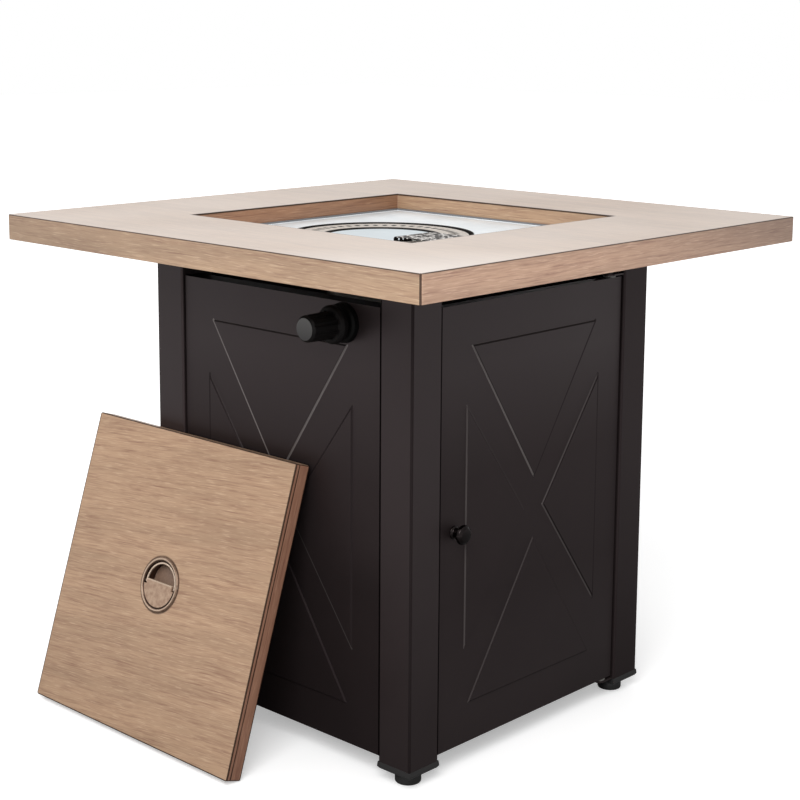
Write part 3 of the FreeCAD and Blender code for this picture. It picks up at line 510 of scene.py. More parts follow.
def makeLidCoat():
    material, tree, shader = newMaterial("woodLookLid")
    look = lidLook
    flat = lidPlace(tree)
    x, y, z = split(tree, flat)
    # on the lid's left and right walls the grain runs along the wall
    away = calc(tree, "ABSOLUTE", calc(tree, "SUBTRACT", x, lidSize / 2))
    onSide = calc(tree, "MULTIPLY", calc(tree, "GREATER_THAN", away, lidSize / 2 - look["wallDepth"]),
                  calc(tree, "LESS_THAN", z, lidThickness - look["faceDepth"]))
    keep = calc(tree, "SUBTRACT", 1, onSide)
    slant = calc(tree, "SUBTRACT", calc(tree, "ADD", y, z), calc(tree, "MULTIPLY", x, look["grainSlope"]))
    along = calc(tree, "ADD", calc(tree, "MULTIPLY", y, onSide), calc(tree, "MULTIPLY", x, keep))
    across = calc(tree, "ADD", calc(tree, "MULTIPLY", z, onSide), calc(tree, "MULTIPLY", slant, keep))
    grain = joined(tree, along, across, calc(tree, "MULTIPLY", z, woodLook["sideGrain"]))
    half = (lidSize / 2, lidSize / 2, lidThickness / 2)
    centred = mapped(tree, flat, location=[-h for h in half])
    edge = placeGroup(tree, boxEdges, Vector=centred, Half=half, Width=woodLook["edgeWidth"])["Mask"]
    # a second, fainter line runs along each wall; a faint ring round the pull is antiquing and painted shade
    # at the foot of its rim
    fold = band(tree, z, look["foldFrom"], look["foldTo"], look["foldSoft"])
    fold = calc(tree, "MULTIPLY", calc(tree, "MULTIPLY", onSide, fold), look["fold"])
    edge = calc(tree, "MAXIMUM", edge, fold)
    halo = band(tree, pullDistance(tree, flat), look["haloFrom"], look["haloTo"], look["haloSoft"])
    edge = calc(tree, "MAXIMUM", edge, calc(tree, "MULTIPLY", halo, look["halo"]))
    # the walls are tinted darker than the face, as painted shade
    paintWoodLook(tree, shader, grain, edge, blendColour(tree, onSide, look["faceTint"], look["wallTint"]))
    return material


pullLook = {
    "patchScale": 190,
    "bodyStops": [(0.30, (0.30, 0.185, 0.125)), (0.70, (0.46, 0.32, 0.225))],
    "rubbed": (0.52, 0.40, 0.30),
    "rub": 0.85,
    "crestFrom": 0.0315,
    "crestTo": 0.0321,
    "crestSoft": 0.0005,
    "crestRise": 0.0006,
    "lipFrom": 0.0020,
    "lipTo": 0.0040,
    "lipLow": 0.0002,
    "lipHigh": 0.0014,
    "lipSoft": 0.0003,
    "soft": 0.0006,
    "grooveFrom": 0.0285,
    "grooveTo": 0.0304,
    "groove": 0.90,
    "grooveDull": 0.8,
    "rimFrom": 0.0328,
    "rim": 0.55,
    "pocket": (0.13, 0.075, 0.058),
    "pocketDepth": 0.004,
    "pocketShade": 0.55,
    "roughness": 0.30,
    "patchRoughness": 0.15,
    "relief": 0.2,
    "reliefDepth": 0.00005,
}


def makePullCoat():
    # the pull wears the lid's coat, with painted highlights on its crest and lip, painted shade nearly black
    # in its grooves and darker in its pocket
    material, tree, shader = newMaterial("woodLookPull")
    look = pullLook
    flat = lidPlace(tree)
    x, y, z = split(tree, flat)
    away = pullDistance(tree, flat)
    patch = noise(tree, flat, look["patchScale"], 3)
    rise = calc(tree, "SUBTRACT", z, lidThickness)
    upward = calc(tree, "SUBTRACT", y, lidSize / 2)
    crest = calc(tree, "MULTIPLY", band(tree, away, look["crestFrom"], look["crestTo"], look["crestSoft"]),
                 calc(tree, "GREATER_THAN", rise, look["crestRise"]))
    lip = calc(tree, "MULTIPLY", band(tree, upward, look["lipFrom"], look["lipTo"], look["soft"]),
               band(tree, rise, look["lipLow"], look["lipHigh"], look["lipSoft"]))
    rubbed = calc(tree, "MULTIPLY", calc(tree, "MAXIMUM", crest, lip), look["rub"])
    colour = blendColour(tree, rubbed, ramp(tree, patch, look["bodyStops"]), look["rubbed"])
    # the groove and the rim's outer edge are painted nearly black, as shade
    rim = calc(tree, "MULTIPLY", calc(tree, "GREATER_THAN", away, look["rimFrom"]), look["rim"])
    groove = band(tree, away, look["grooveFrom"], look["grooveTo"], look["soft"])
    groove = calc(tree, "MAXIMUM", groove, rim)
    colour = blendColour(tree, calc(tree, "MULTIPLY", groove, look["groove"]), colour, woodLook["antique"])
    # the pocket is painted darker, as shade
    pocket = calc(tree, "LESS_THAN", rise, -look["pocketDepth"])
    colour = blendColour(tree, calc(tree, "MULTIPLY", pocket, look["pocketShade"]), colour, look["pocket"])
    rough = calc(tree, "MULTIPLY", patch, look["patchRoughness"])
    rough = calc(tree, "ADD", rough, look["roughness"])
    tree.links.new(colour, shader.inputs["Base Color"])
    tree.links.new(calc(tree, "MULTIPLY", groove, look["grooveDull"]), shader.inputs["Metallic"])
    tree.links.new(rough, shader.inputs["Roughness"])
    addBump(tree, shader, patch, look["relief"], look["reliefDepth"])
    return material


bailLook = {
    "patchScale": 240,
    "bodyStops": [(0.30, (0.46, 0.34, 0.25)), (0.70, (0.70, 0.56, 0.44))],
    "frontFrom": 0.0259,
    "frontTo": 0.0273,
    "frontSoft": 0.0006,
    "side": 0.80,
    "roughness": 0.26,
    "patchRoughness": 0.15,
    "relief": 0.2,
    "reliefDepth": 0.00004,
}


def makeBailCoat():
    # the folding ring, left pale along its front as a painted highlight and painted dark along its sides as
    # shade
    material, tree, shader = newMaterial("woodLookBail")
    look = bailLook
    flat = lidPlace(tree)
    patch = noise(tree, flat, look["patchScale"], 3)
    front = band(tree, pullDistance(tree, flat), look["frontFrom"], look["frontTo"], look["frontSoft"])
    side = calc(tree, "MULTIPLY", calc(tree, "SUBTRACT", 1, front), look["side"])
    colour = blendColour(tree, side, ramp(tree, patch, look["bodyStops"]), woodLook["antique"])
    rough = calc(tree, "MULTIPLY", patch, look["patchRoughness"])
    rough = calc(tree, "ADD", rough, look["roughness"])
    tree.links.new(colour, shader.inputs["Base Color"])
    tree.links.new(rough, shader.inputs["Roughness"])
    addBump(tree, shader, patch, look["relief"], look["reliefDepth"])
    return material


# powder coat and mouldings

def makeCoat(name, colour, roughness, grain=900, depth=0.00004, gloss=0.5, shine=(1, 1, 1), extra=None):
    material, tree, shader = newMaterial(name)
    group = placeGroup(tree, coatTexture, Vector=objectCoords(tree), Grain=float(grain))
    low = tuple(c * (1 - coatLook["uneven"]) for c in colour)
    high = tuple(min(1, c * (1 + coatLook["uneven"])) for c in colour)
    tone = ramp(tree, group["Uneven"], [(coatLook["toneFrom"], low), (coatLook["toneTo"], high)])
    drift = coatLook["roughDrift"]
    rough = calc(tree, "ADD", calc(tree, "MULTIPLY", group["Uneven"], drift), roughness - drift / 2)
    if extra:
        # the dull mask takes the shine off grooves and arrises, as painted shade
        tone, dull = extra(tree, tone)
        tree.links.new(dull, shader.inputs["Metallic"])
        rough = calc(tree, "ADD", rough, calc(tree, "MULTIPLY", dull, coatLook["dullRoughness"]))
    tree.links.new(tone, shader.inputs["Base Color"])
    tree.links.new(rough, shader.inputs["Roughness"])
    shader.inputs["Specular IOR Level"].default_value = gloss
    shader.inputs["Specular Tint"].default_value = (*shine, 1)
    addBump(tree, shader, group["Height"], coatLook["peel"], depth)
    return material


# the raised triangles' corners, from the middle of a panel
topLeft, topMiddle, topRight = (-0.1175, 0.2165), (0, 0.0385), (0.1175, 0.2165)
leftTip, leftHigh, leftLow = (-0.0175, 0), (-0.1255, 0.147), (-0.1255, -0.147)
rightTip, rightHigh, rightLow = (0.0175, 0), (0.1255, 0.147), (0.1255, -0.147)
bottomMiddle, bottomLeft = (0, -0.0385), (-0.1175, -0.217)

# finish of the panels, with painted highlights and painted shade on the raised triangles; each painted line
# has its start, end, half width and strength
panelLook = {
    "rubbed": (0.17, 0.155, 0.15),
    "groove": (0.004, 0.003, 0.003),
    "middle": 0.2955,
    "rimStart": 0.1692,
    "slopeFrom": 0.93,
    "straightBelow": 0.05,
    "upwardFrom": 0.1,
    "slopeDull": 0.50,
    "straightDull": 0.16,
    "upwardDull": 0.12,
    "waistLow": -0.09,
    "waistHigh": 0.06,
    "waistFade": 0.13,
    "waistDull": 0.30,
    "footTop": 0.08,
    "footFade": 0.15,
    "footDull": 0.50,
    "frontPale": [(topLeft, topMiddle, 0.0022, 0.95), (topRight, topMiddle, 0.0014, 0.75),
                  (rightTip, rightLow, 0.0013, 0.30), (topLeft, topRight, 0.0012, 0.14),
                  (leftTip, leftHigh, 0.0012, 0.10)],
    "frontDark": [(leftHigh, leftLow, 0.0026, 0.50), (rightTip, rightHigh, 0.0010, 0.50)],
    "doorPale": [(topLeft, topMiddle, 0.0012, 0.75), (leftHigh, leftLow, 0.0011, 0.28),
                 (rightTip, rightHigh, 0.0012, 0.34), (rightTip, rightLow, 0.0012, 0.36),
                 (topLeft, topRight, 0.0012, 0.16), (leftTip, leftHigh, 0.0012, 0.07),
                 (bottomMiddle, bottomLeft, 0.0011, 0.15)],
    "doorDark": [(topRight, topMiddle, 0.0026, 0.50), (rightHigh, rightLow, 0.0026, 0.50)],
}


def paintedSlopeLight(tree, tone):
    # painted light on the raised triangles: their slopes are painted darker and dulled as shade, some of
    # their edges get a painted highlight and others painted shade, and the sheet's rim is painted black as
    # the shade in its gap
    look = panelLook
    normal = faceNormal(tree)
    absX, absY, absZ = (calc(tree, "ABSOLUTE", part) for part in normal)
    flatness = calc(tree, "MAXIMUM", calc(tree, "MAXIMUM", absX, absY), absZ)
    slope = calc(tree, "LESS_THAN", flatness, look["slopeFrom"])
    straight = calc(tree, "LESS_THAN", calc(tree, "MINIMUM", absX, absY), look["straightBelow"])
    upward = calc(tree, "GREATER_THAN", normal[2], look["upwardFrom"])
    dull = calc(tree, "MAXIMUM", calc(tree, "MULTIPLY", straight, look["straightDull"]),
                calc(tree, "MULTIPLY", upward, look["upwardDull"]))
    dull = calc(tree, "MULTIPLY", slope, calc(tree, "ADD", dull, look["slopeDull"]))
    tone = blendColour(tree, dull, tone, look["groove"])
    # the lines are laid out as seen from outside: to the right of the panel's middle and up from it
    x, y, z = split(tree, objectCoords(tree))
    onDoor = calc(tree, "GREATER_THAN", calc(tree, "ABSOLUTE", x), calc(tree, "ABSOLUTE", y))
    onFront = calc(tree, "SUBTRACT", 1, onDoor)
    height = calc(tree, "SUBTRACT", z, look["middle"])
    frontRight = calc(tree, "MULTIPLY", calc(tree, "MULTIPLY", x, calc(tree, "SIGN", y)), -1)
    doorRight = calc(tree, "MULTIPLY", y, calc(tree, "SIGN", x))
    places = {"front": (onFront, joined(tree, frontRight, height, 0)),
              "door": (onDoor, joined(tree, doorRight, height, 0))}

    def painted(kind):
        total = 0
        for side, (face, place) in places.items():
            for start, end, width, strength in look[side + kind]:
                line = placeGroup(tree, lineMask, Vector=place, From=(*start, 0), To=(*end, 0), Width=width)
                share = calc(tree, "MULTIPLY", face, strength)
                total = calc(tree, "ADD", calc(tree, "MULTIPLY", line["Mask"], share), total)
        return clamped(tree, total)

    # the pale lines are painted highlights, the dark lines painted shade
    pale, dark = painted("Pale"), painted("Dark")
    tone = blendColour(tree, dark, blendColour(tree, pale, tone, look["rubbed"]), look["groove"])
    dull = calc(tree, "MAXIMUM", calc(tree, "MULTIPLY", dull, calc(tree, "SUBTRACT", 1, pale)), dark)
    # painted shade: the coat shines less at mid height, and least low on the front and back
    waist = band(tree, height, look["waistLow"], look["waistHigh"], look["waistFade"])
    foot = calc(tree, "DIVIDE", calc(tree, "SUBTRACT", look["footTop"], height), look["footFade"])
    foot = calc(tree, "MULTIPLY", clamped(tree, foot), onFront)
    heightShade = calc(tree, "MAXIMUM", calc(tree, "MULTIPLY", waist, look["waistDull"]),
                calc(tree, "MULTIPLY", foot, look["footDull"]))
    dull = calc(tree, "MAXIMUM", dull, heightShade)
    # the sheet's rim beside the posts is painted black, as the shade in the gap
    along = calc(tree, "SUBTRACT", calc(tree, "MULTIPLY", x, onFront), calc(tree, "MULTIPLY", y, onDoor))
    rim = calc(tree, "GREATER_THAN", along, look["rimStart"])
    return blendColour(tree, rim, tone, look["groove"]), calc(tree, "MAXIMUM", dull, rim)


postLook = {
    "middle": 0.198,
    "half": 0.025,
    "tall": 5.0,
    "lineWidth": 0.0030,
    "lineGain": 3.0,
    "nearFrom": 0.3,
    "outwardLine": 0.52,
    "backDull": 0.30,
}


def paintedArrisShade(tree, tone):
    # dark lines painted as shade down the posts' outward corners, and on the near post beside the panels
    look = postLook
    x, y, z = split(tree, objectCoords(tree))
    dx = calc(tree, "SUBTRACT", calc(tree, "ABSOLUTE", x), look["middle"])
    dy = calc(tree, "SUBTRACT", calc(tree, "ABSOLUTE", y), look["middle"])
    edges = placeGroup(tree, boxEdges, Vector=joined(tree, dx, dy, z), Width=look["lineWidth"],
                       Half=(look["half"], look["half"], look["tall"]))
    line = clamped(tree, calc(tree, "MULTIPLY", edges["Mask"], look["lineGain"]))
    outward = calc(tree, "GREATER_THAN", calc(tree, "MINIMUM", dx, dy), 0)
    near = calc(tree, "GREATER_THAN", calc(tree, "SUBTRACT", x, y), look["nearFrom"])
    inward = calc(tree, "MULTIPLY", near, calc(tree, "SUBTRACT", 1, outward))
    strength = calc(tree, "MAXIMUM", calc(tree, "MULTIPLY", outward, look["outwardLine"]), inward)
    line = calc(tree, "MULTIPLY", line, strength)
    # the rear posts are dulled as painted shade
    back = calc(tree, "MULTIPLY", calc(tree, "GREATER_THAN", y, 0), look["backDull"])
    return blendColour(tree, line, tone, panelLook["groove"]), calc(tree, "MAXIMUM", line, back)


knobLook = {
    "facing": -0.9,
    "front": -0.255,
    "low": 0.521,
    "tall": 0.034,
    "endStops": [(0.2, (0.024, 0.022, 0.022)), (0.9, (0.080, 0.077, 0.075))],
    "grip": (0.006, 0.005, 0.005),
    "gripDull": 0.7,
}


def knobPaintedLight(tree, tone):
    # painted light on the knob: its end is painted grey, paler towards the top as a painted highlight, and
    # its grip stays black, dulled as painted shade
    look = knobLook
    x, y, z = split(tree, objectCoords(tree))
    end = calc(tree, "MULTIPLY", calc(tree, "LESS_THAN", faceNormal(tree)[1], look["facing"]),
               calc(tree, "LESS_THAN", y, look["front"]))
    side = calc(tree, "SUBTRACT", 1, end)
    height = calc(tree, "DIVIDE", calc(tree, "SUBTRACT", z, look["low"]), look["tall"])
    tone = blendColour(tree, end, tone, ramp(tree, height, look["endStops"]))
    return blendColour(tree, side, tone, look["grip"]), calc(tree, "MULTIPLY", side, look["gripDull"])


# metals

metalLook = {
    "scratch": 0.10,
    "cloudScale": 18,
    "cloudShade": 0.90,
    "cloudFrom": 0.35,
    "cloudTo": 0.65,
    "relief": 0.15,
    "reliefDepth": 0.00003,
}


def makeMetal(name, colour, roughness, scale, metallic=1.0, extra=None):
    material, tree, shader = newMaterial(name)
    look = metalLook
    coords = objectCoords(tree)
    lines = noise(tree, mapped(tree, coords, scale=scale), 1, 3, 0.6)
    cloud = noise(tree, coords, look["cloudScale"], 3)
    dim = tuple(c * look["cloudShade"] for c in colour)
    tone = ramp(tree, cloud, [(look["cloudFrom"], dim), (look["cloudTo"], colour)])
    if extra:
        tone = extra(tree, tone)
    scratch = look["scratch"]
    rough = calc(tree, "ADD", calc(tree, "MULTIPLY", lines, scratch), roughness - scratch / 2)
    shader.inputs["Metallic"].default_value = metallic
    tree.links.new(tone, shader.inputs["Base Color"])
    tree.links.new(rough, shader.inputs["Roughness"])
    addBump(tree, shader, lines, look["relief"], look["reliefDepth"])
    return material


burnerLook = {
    "soot": (0.012, 0.009, 0.008),
    "lip": (0.20, 0.20, 0.21),
    "lipFrom": panTop + 0.0006,
    "island": (0.52, 0.60, 0.64),
    "islandShade": 0.6,
    "troughFrom": ringInner - 0.0040,
    "troughTo": ringOuter + 0.0056,
    "troughSoft": 0.0004,
    "troughTop": panTop + 0.0004,
    "underFrom": panTop - 0.0050,
    "line": (0.22, 0.17, 0.13),
    "lineHalf": 0.0006,
    "lineSoft": 0.0006,
    "lineShade": 0.5,
    "portHalfAlong": 0.0044,
    "portHalfAcross": 0.0074,
    "portSoft": 0.35,
    "ringEdge": 0.0012,
    "ringSoft": 0.0005,
    "ringFaceDepth": 0.0006,
    "holeHalf": 0.0034,
    "holeSoft": 0.2,
    "blotAcross": (95, 90),
    "blotDepth": (-40, 42),
    "stain": (0.030, 0.022, 0.018),
    "stainStops": [(0.46, 0.0), (0.53, 0.92)],
    "guardLow": ringTop + 0.0030,
}


def shadedTrough(tree, tone):
    # painted light on the pan: painted shade in the burner's trough and below its top, a painted bluish
    # reflection inside the ring, and painted grey shade on its upturned lip
    look = burnerLook
    away, angle, z = burnerRound(tree, objectCoords(tree))
    trough = band(tree, away, look["troughFrom"], look["troughTo"], look["troughSoft"])
    trough = calc(tree, "MULTIPLY", trough, calc(tree, "LESS_THAN", z, look["troughTop"]))
    island = calc(tree, "MULTIPLY", calc(tree, "LESS_THAN", away, ringInner), look["islandShade"])
    tone = blendColour(tree, island, tone, look["island"])
    troughShade = calc(tree, "MAXIMUM", trough, calc(tree, "LESS_THAN", z, look["underFrom"]))
    tone = blendColour(tree, troughShade, tone, look["soot"])
    return blendColour(tree, calc(tree, "GREATER_THAN", z, look["lipFrom"]), tone, look["lip"])


def sootedAndShadedRing(tree, tone):
    # walls painted black as shade, a brown line along the middle, and dark round each port on the pale top,
    # as soot and painted shade
    look = burnerLook
    away, angle, z = burnerRound(tree, objectCoords(tree))
    middle = (ringInner + ringOuter) / 2
    pitch = 2 * math.pi / portCount
    off = toNearest(tree, calc(tree, "SUBTRACT", angle, pitch / 2), pitch)
    across = calc(tree, "SUBTRACT", away, middle)
    ports = ovalMask(tree, calc(tree, "MULTIPLY", off, middle), across, look["portHalfAlong"],
                     look["portHalfAcross"], look["portSoft"])
    line = band(tree, across, -look["lineHalf"], look["lineHalf"], look["lineSoft"])
    tone = blendColour(tree, calc(tree, "MULTIPLY", line, look["lineShade"]), tone, look["line"])
    tone = blendColour(tree, ports, tone, look["soot"])
    edge = look["ringEdge"]
    top = band(tree, away, ringInner + edge, ringOuter - edge, look["ringSoft"])
    top = calc(tree, "MULTIPLY", top, calc(tree, "GREATER_THAN", z, ringTop - look["ringFaceDepth"]))
    return blendColour(tree, calc(tree, "SUBTRACT", 1, top), tone, look["soot"])


def stainedAndShadedGuard(tree, tone):
    # heat-stained hood: walls painted black as shade, soot and painted shade around the holes, and soot in
    # blots across it
    look = burnerLook
    x, y, z = split(tree, objectCoords(tree))
    u = toNearest(tree, calc(tree, "SUBTRACT", x, guardMiddle[0] + guardPitch / 2), guardPitch)
    v = toNearest(tree, calc(tree, "SUBTRACT", y, guardMiddle[1]), guardPitch)
    holes = ovalMask(tree, u, v, look["holeHalf"], look["holeHalf"], look["holeSoft"])
    across, depth = (calc(tree, "ADD", calc(tree, "MULTIPLY", x, alongX), calc(tree, "MULTIPLY", y, alongY))
                     for alongX, alongY in (look["blotAcross"], look["blotDepth"]))
    blots = ramp(tree, noise(tree, joined(tree, across, depth, 0), 1, 1), look["stainStops"])
    tone = blendColour(tree, blots, tone, look["stain"])
    low = calc(tree, "LESS_THAN", z, look["guardLow"])
    return blendColour(tree, calc(tree, "MAXIMUM", holes, low), tone, look["soot"])


cabinetCoat = {"colour": (0.0125, 0.0088, 0.0088), "roughness": 0.44, "shine": (1.0, 0.80, 0.83)}

finishes = {
    "woodLookTop": makeTopCoat(),
    "woodLookLid": makeLidCoat(),
    "woodLookPull": makePullCoat(),
    "woodLookBail": makeBailCoat(),
    "darkCoat": makeCoat("darkCoat", gloss=0.52, **cabinetCoat),
    "panelCoat": makeCoat("panelCoat", gloss=0.46, extra=paintedSlopeLight, **cabinetCoat),
    "postCoat": makeCoat("postCoat", gloss=0.46, extra=paintedArrisShade, **cabinetCoat),
    # a darker, duller coat for the frame inside the cabinet, as painted shade
    "innerCoat": makeCoat("innerCoat", (0.004, 0.003, 0.003), 0.60, gloss=0.12),
    "panSteel": makeMetal("panSteel", (0.90, 0.94, 0.96), 0.48, (12, 400, 400), 0.4, shadedTrough),
    "burnerSteel": makeMetal("burnerSteel", (0.50, 0.48, 0.45), 0.48, (200, 200, 200), 0.8),
    "ringSteel": makeMetal("ringSteel", (0.62, 0.56, 0.50), 0.50, (200, 200, 200), 0.4, sootedAndShadedRing),
    "guardSteel": makeMetal("guardSteel", (0.92, 0.88, 0.84), 0.50, (200, 200, 200), 0.5, stainedAndShadedGuard),
    "zincPlate": makeMetal("zincPlate", (0.60, 0.61, 0.63), 0.30, (300, 300, 300)),
    "blackPlastic": makeCoat("blackPlastic", (0.020, 0.019, 0.019), 0.50, grain=1400, depth=0.00003),
    "bezelCoat": makeCoat("bezelCoat", (0.003, 0.003, 0.003), 0.50, gloss=0.08),
    "knobPlastic": makeCoat("knobPlastic", (0.012, 0.011, 0.011), 0.36, grain=500, depth=0.00001, gloss=0.4,
                            extra=knobPaintedLight),
    "doorKnobCoat": makeMetal("doorKnobCoat", (0.022, 0.018, 0.018), 0.18, (300, 300, 300)),
    "castAlloy": makeMetal("castAlloy", (0.62, 0.62, 0.62), 0.50, (300, 300, 300)),
    "turnedBrass": makeMetal("turnedBrass", (0.72, 0.54, 0.24), 0.30, (300, 300, 300)),
    "nylon": makeCoat("nylon", (0.15, 0.145, 0.135), 0.50),
    "glazedCeramic": makeCoat("glazedCeramic", (0.80, 0.79, 0.74), 0.22, grain=300, depth=0.00001),
}

slotFinish = {
    "wood_look_coat": "woodLookLid",
    "dark_coat": "darkCoat",
    "pan_steel": "panSteel",
    "burner_steel": "burnerSteel",
    "plated_steel": "zincPlate",
    "black_plastic": "blackPlastic",
    "bezel_coat": "bezelCoat",
    "knob_plastic": "knobPlastic",
    "door_knob_coat": "doorKnobCoat",
    "valve_alloy": "castAlloy",
    "brass": "turnedBrass",
    "nylon": "nylon",
    "insulator": "glazedCeramic",
}
nodeFinish = {
    "tabletop": "woodLookTop",
    "table_underframe": "innerCoat",
    "lid_pull_cup": "woodLookPull",
    "lid_pull_ring": "woodLookBail",
    "ring_burner": "ringSteel",
    "igniter_guard": "guardSteel",
}
nodeFinish.update((name + "_panel", "panelCoat") for name in ("front", "back", "left", "door"))
nodeFinish.update((name, "postCoat") for name in nodes if name.startswith("post_") and name != "post_caps")
nodeFinish.update((name, "innerCoat") for name in nodes if name.startswith("top_rail_"))
nodeSlot = {s["node"]: s["material_slot"] for s in frame["record"]["subparts"]}
nodeBody = {name: body for body, names in frame["record"]["behaviour"]["bodies"].items() for name in names}


def wear(piece, finish):
    piece.data.materials.clear()
    piece.data.materials.append(finishes[finish])


for name, node in nodes.items():
    wear(node, nodeFinish.get(name) or slotFinish[nodeSlot[name]])
print("finishes made", len(finishes))


# modelling helpers

def pick(piece):
    bpy.ops.object.select_all(action="DESELECT")
    piece.select_set(True)
    bpy.context.view_layer.objects.active = piece


edgeLook = {"weld": 0.00002, "flatAngle": 0.5, "segments": 2, "bendAngle": 30, "smoothAngle": 35}


def cleanCopy(nodeName, pieceName):
    # a copy of a node's mesh with its loose triangles joined into flat faces
    node = nodes[nodeName]
    piece = bpy.data.objects.new(pieceName, node.data.copy())
    bpy.context.scene.collection.objects.link(piece)
    pick(piece)
    bpy.ops.object.mode_set(mode="EDIT")
    bpy.ops.mesh.select_all(action="SELECT")
    bpy.ops.mesh.remove_doubles(threshold=edgeLook["weld"])
    bpy.ops.mesh.dissolve_limited(angle_limit=math.radians(edgeLook["flatAngle"]))
    bpy.ops.object.mode_set(mode="OBJECT")
    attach(piece, nodeBody[nodeName])
    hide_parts(nodeName)
    return piece


def softenEdges(piece, width):
    pick(piece)
    bevel = piece.modifiers.new("soft edges", "BEVEL")
    bevel.width = width
    bevel.segments = edgeLook["segments"]
    bevel.limit_method = "ANGLE"
    bevel.angle_limit = math.radians(edgeLook["bendAngle"])
    bevel.use_clamp_overlap = True
    bevel.miter_outer = "MITER_ARC"
    bpy.ops.object.modifier_apply(modifier="soft edges")
    bpy.ops.object.shade_smooth_by_angle(angle=math.radians(edgeLook["smoothAngle"]))
    evenOut = piece.modifiers.new("even shading", "WEIGHTED_NORMAL")  # keeps the broad faces flat
    evenOut.weight = 100
    evenOut.keep_sharp = True
    bpy.ops.object.modifier_apply(modifier="even shading")


softened = {
    "tabletop": 0.0009,
    "lid_shell": 0.0008,
    "post_right_front": 0.0003,
    "post_right_back": 0.0003,
    "post_left_back": 0.0003,
    "post_left_front": 0.0003,
    "post_caps": 0.0006,
    "control_bezel": 0.0004,
    "control_knob": 0.0005,
    "door_knob": 0.0004,
    "foot_right_front": 0.0004,
    "foot_right_back": 0.0004,
    "foot_left_back": 0.0004,
    "foot_left_front": 0.0004,
}

for name, width in softened.items():
    words = name.split("_") if "_" in name else (name, "sheet")
    piece = cleanCopy(name, words[0] + "".join(w.capitalize() for w in words[1:]))
    softenEdges(piece, width)
print("edges softened on", len(softened), "pieces")


# floor, camera and light

stageLook = {
    "floorSize": 30,
    "floorRoughness": 0.9,
    "floorShine": 0.1,
    "floorColour": 0.84,
    "clothColour": 0.24,
    "clothReach": 3.0,
    "clothStart": 0.12,
    "clothEnd": 0.85,
    "coveStart": 0.35,
    "coveGlow": 0.62,
    "nearLift": 0.36,
    "farLift": 0.50,
    "worldStrength": 0.60,
    "crossShade": 0.60,
    "lampAim": (0, 0, 0.35),
    "lampSize": 2.0,
    "keyPlace": (1.5, -2.2, 2.4),
    "keyPower": 88,
    "fillPlace": (-2.2, -0.6, 2.2),
    "fillPower": 14,
}
cameraLook = {
    "place": (1.4641, -1.5664, 0.8807),
    "turn": 43.18,
    "tilt": -9.41,
    "roll": 0.38,
    "sensor": 36,
    "focal": 75.99,
    "rise": -0.125,
    "farthest": 100,
}


def crossShade(tree, vector):
    # 1 towards the camera's side and the far side, darker to its left and right
    x, y, z = split(tree, vector)
    across = calc(tree, "MULTIPLY", calc(tree, "ADD", x, y), math.sqrt(0.5))
    cosine = calc(tree, "DIVIDE", across, calc(tree, "ADD", lengthOf(tree, vector), 0.001))
    shade = calc(tree, "MULTIPLY", calc(tree, "MULTIPLY", cosine, cosine), stageLook["crossShade"])
    return calc(tree, "SUBTRACT", 1, shade)


def makeFloor():
    bpy.ops.object.select_all(action="DESELECT")
    look = stageLook
    bpy.ops.mesh.primitive_plane_add(size=look["floorSize"], location=(0, 0, 0))
    floor = bpy.context.object
    floor.name = "studioFloor"
    material, tree, shader = newMaterial("paleFloor")
    shader.inputs["Roughness"].default_value = look["floorRoughness"]
    shader.inputs["Specular IOR Level"].default_value = look["floorShine"]
    seen = tree.nodes.new("ShaderNodeLightPath").outputs["Is Camera Ray"]
    far = calc(tree, "DIVIDE", lengthOf(tree, objectCoords(tree)), look["clothReach"])
    far = calc(tree, "MINIMUM", far, 1.0)
    # the object sees a darker floor close by, as from black cloths laid round it
    cloth = ramp(tree, far, [(look["clothStart"], look["clothColour"]),
                             (look["clothEnd"], look["floorColour"])])
    colour = blendColour(tree, seen, cloth, (look["floorColour"],) * 3)
    tree.links.new(colour, shader.inputs["Base Color"])
    # further out the floor glows like a lit studio cove in everything but the camera's own view
    lift = calc(tree, "ADD", calc(tree, "MULTIPLY", far, look["farLift"]), look["nearLift"])
    cove = calc(tree, "MAXIMUM", calc(tree, "SUBTRACT", far, look["coveStart"]), 0)
    cove = calc(tree, "MULTIPLY", cove, look["coveGlow"])
    glow = calc(tree, "ADD", calc(tree, "MULTIPLY", seen, lift),
                calc(tree, "MULTIPLY", calc(tree, "SUBTRACT", 1, seen), cove))
    shader.inputs["Emission Color"].default_value = (1, 1, 1, 1)
    tree.links.new(glow, shader.inputs["Emission Strength"])
    floor.data.materials.append(material)
    return floor


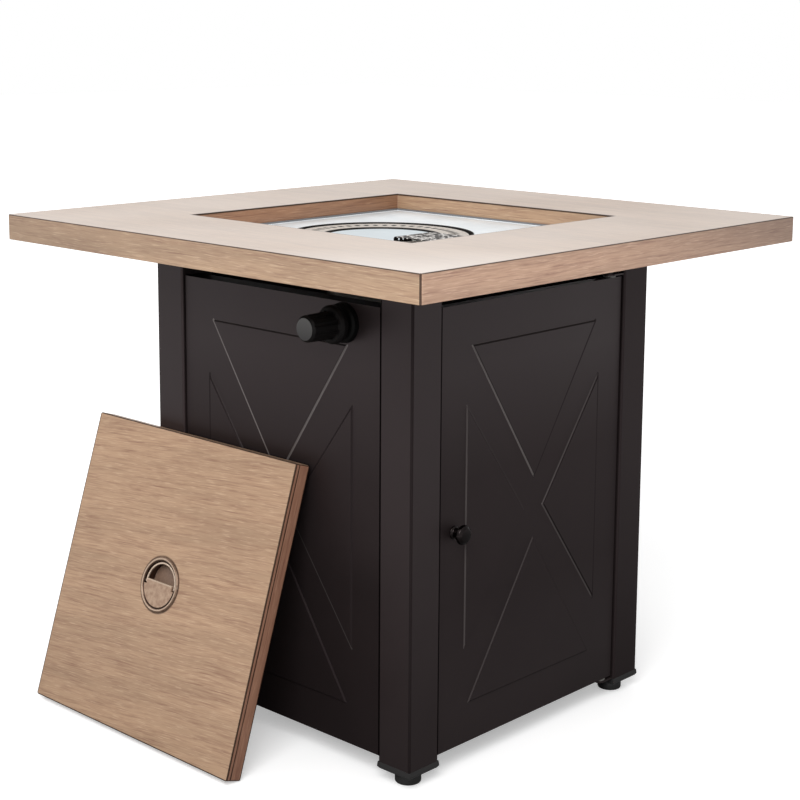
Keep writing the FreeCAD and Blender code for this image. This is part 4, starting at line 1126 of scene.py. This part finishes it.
def makeWorld():
    world = bpy.data.worlds.new("paleStudio")
    bpy.context.scene.world = world
    world.use_nodes = True
    tree = world.node_tree
    tree.nodes.clear()
    out = tree.nodes.new("ShaderNodeOutputWorld")
    background = tree.nodes.new("ShaderNodeBackground")
    path = tree.nodes.new("ShaderNodeLightPath")
    shade = crossShade(tree, tree.nodes.new("ShaderNodeTexCoord").outputs["Generated"])
    glossy = calc(tree, "MULTIPLY", path.outputs["Is Glossy Ray"], 1 - stageLook["worldStrength"])
    soft = calc(tree, "MULTIPLY", calc(tree, "ADD", glossy, stageLook["worldStrength"]), shade)
    seen = calc(tree, "MAXIMUM", path.outputs["Is Camera Ray"], path.outputs["Is Transmission Ray"])
    strength = calc(tree, "ADD", calc(tree, "MULTIPLY", soft, calc(tree, "SUBTRACT", 1, seen)), seen)
    tree.links.new(strength, background.inputs["Strength"])
    background.inputs["Color"].default_value = (1, 1, 1, 1)
    tree.links.new(background.outputs[0], out.inputs[0])


def makeLamp(name, place, power):
    bpy.ops.object.select_all(action="DESELECT")
    bpy.ops.object.light_add(type="AREA", location=place)
    lamp = bpy.context.object
    lamp.name = name
    lamp.data.shape = "SQUARE"
    lamp.data.size = stageLook["lampSize"]
    lamp.data.energy = power
    aim = Vector(stageLook["lampAim"]) - Vector(place)
    lamp.rotation_euler = aim.to_track_quat("-Z", "Y").to_euler()
    return lamp


def makeCamera():
    data = bpy.data.cameras.new("photoCamera")
    camera = bpy.data.objects.new("photoCamera", data)
    bpy.context.scene.collection.objects.link(camera)
    spin = Matrix.Rotation(math.radians(cameraLook["turn"]), 4, "Z")
    spin = spin @ Matrix.Rotation(math.radians(90 + cameraLook["tilt"]), 4, "X")
    spin = spin @ Matrix.Rotation(math.radians(cameraLook["roll"]), 4, "Z")
    camera.matrix_world = Matrix.Translation(cameraLook["place"]) @ spin
    data.sensor_width = cameraLook["sensor"]
    data.lens = cameraLook["focal"]
    data.shift_y = cameraLook["rise"]
    data.clip_end = cameraLook["farthest"]
    bpy.context.scene.camera = camera


floor = makeFloor()
makeWorld()
key = makeLamp("keySoftbox", stageLook["keyPlace"], stageLook["keyPower"])
fill = makeLamp("fillSoftbox", stageLook["fillPlace"], stageLook["fillPower"])
makeCamera()
bpy.context.scene.view_settings.view_transform = "Standard"
print("stage made")
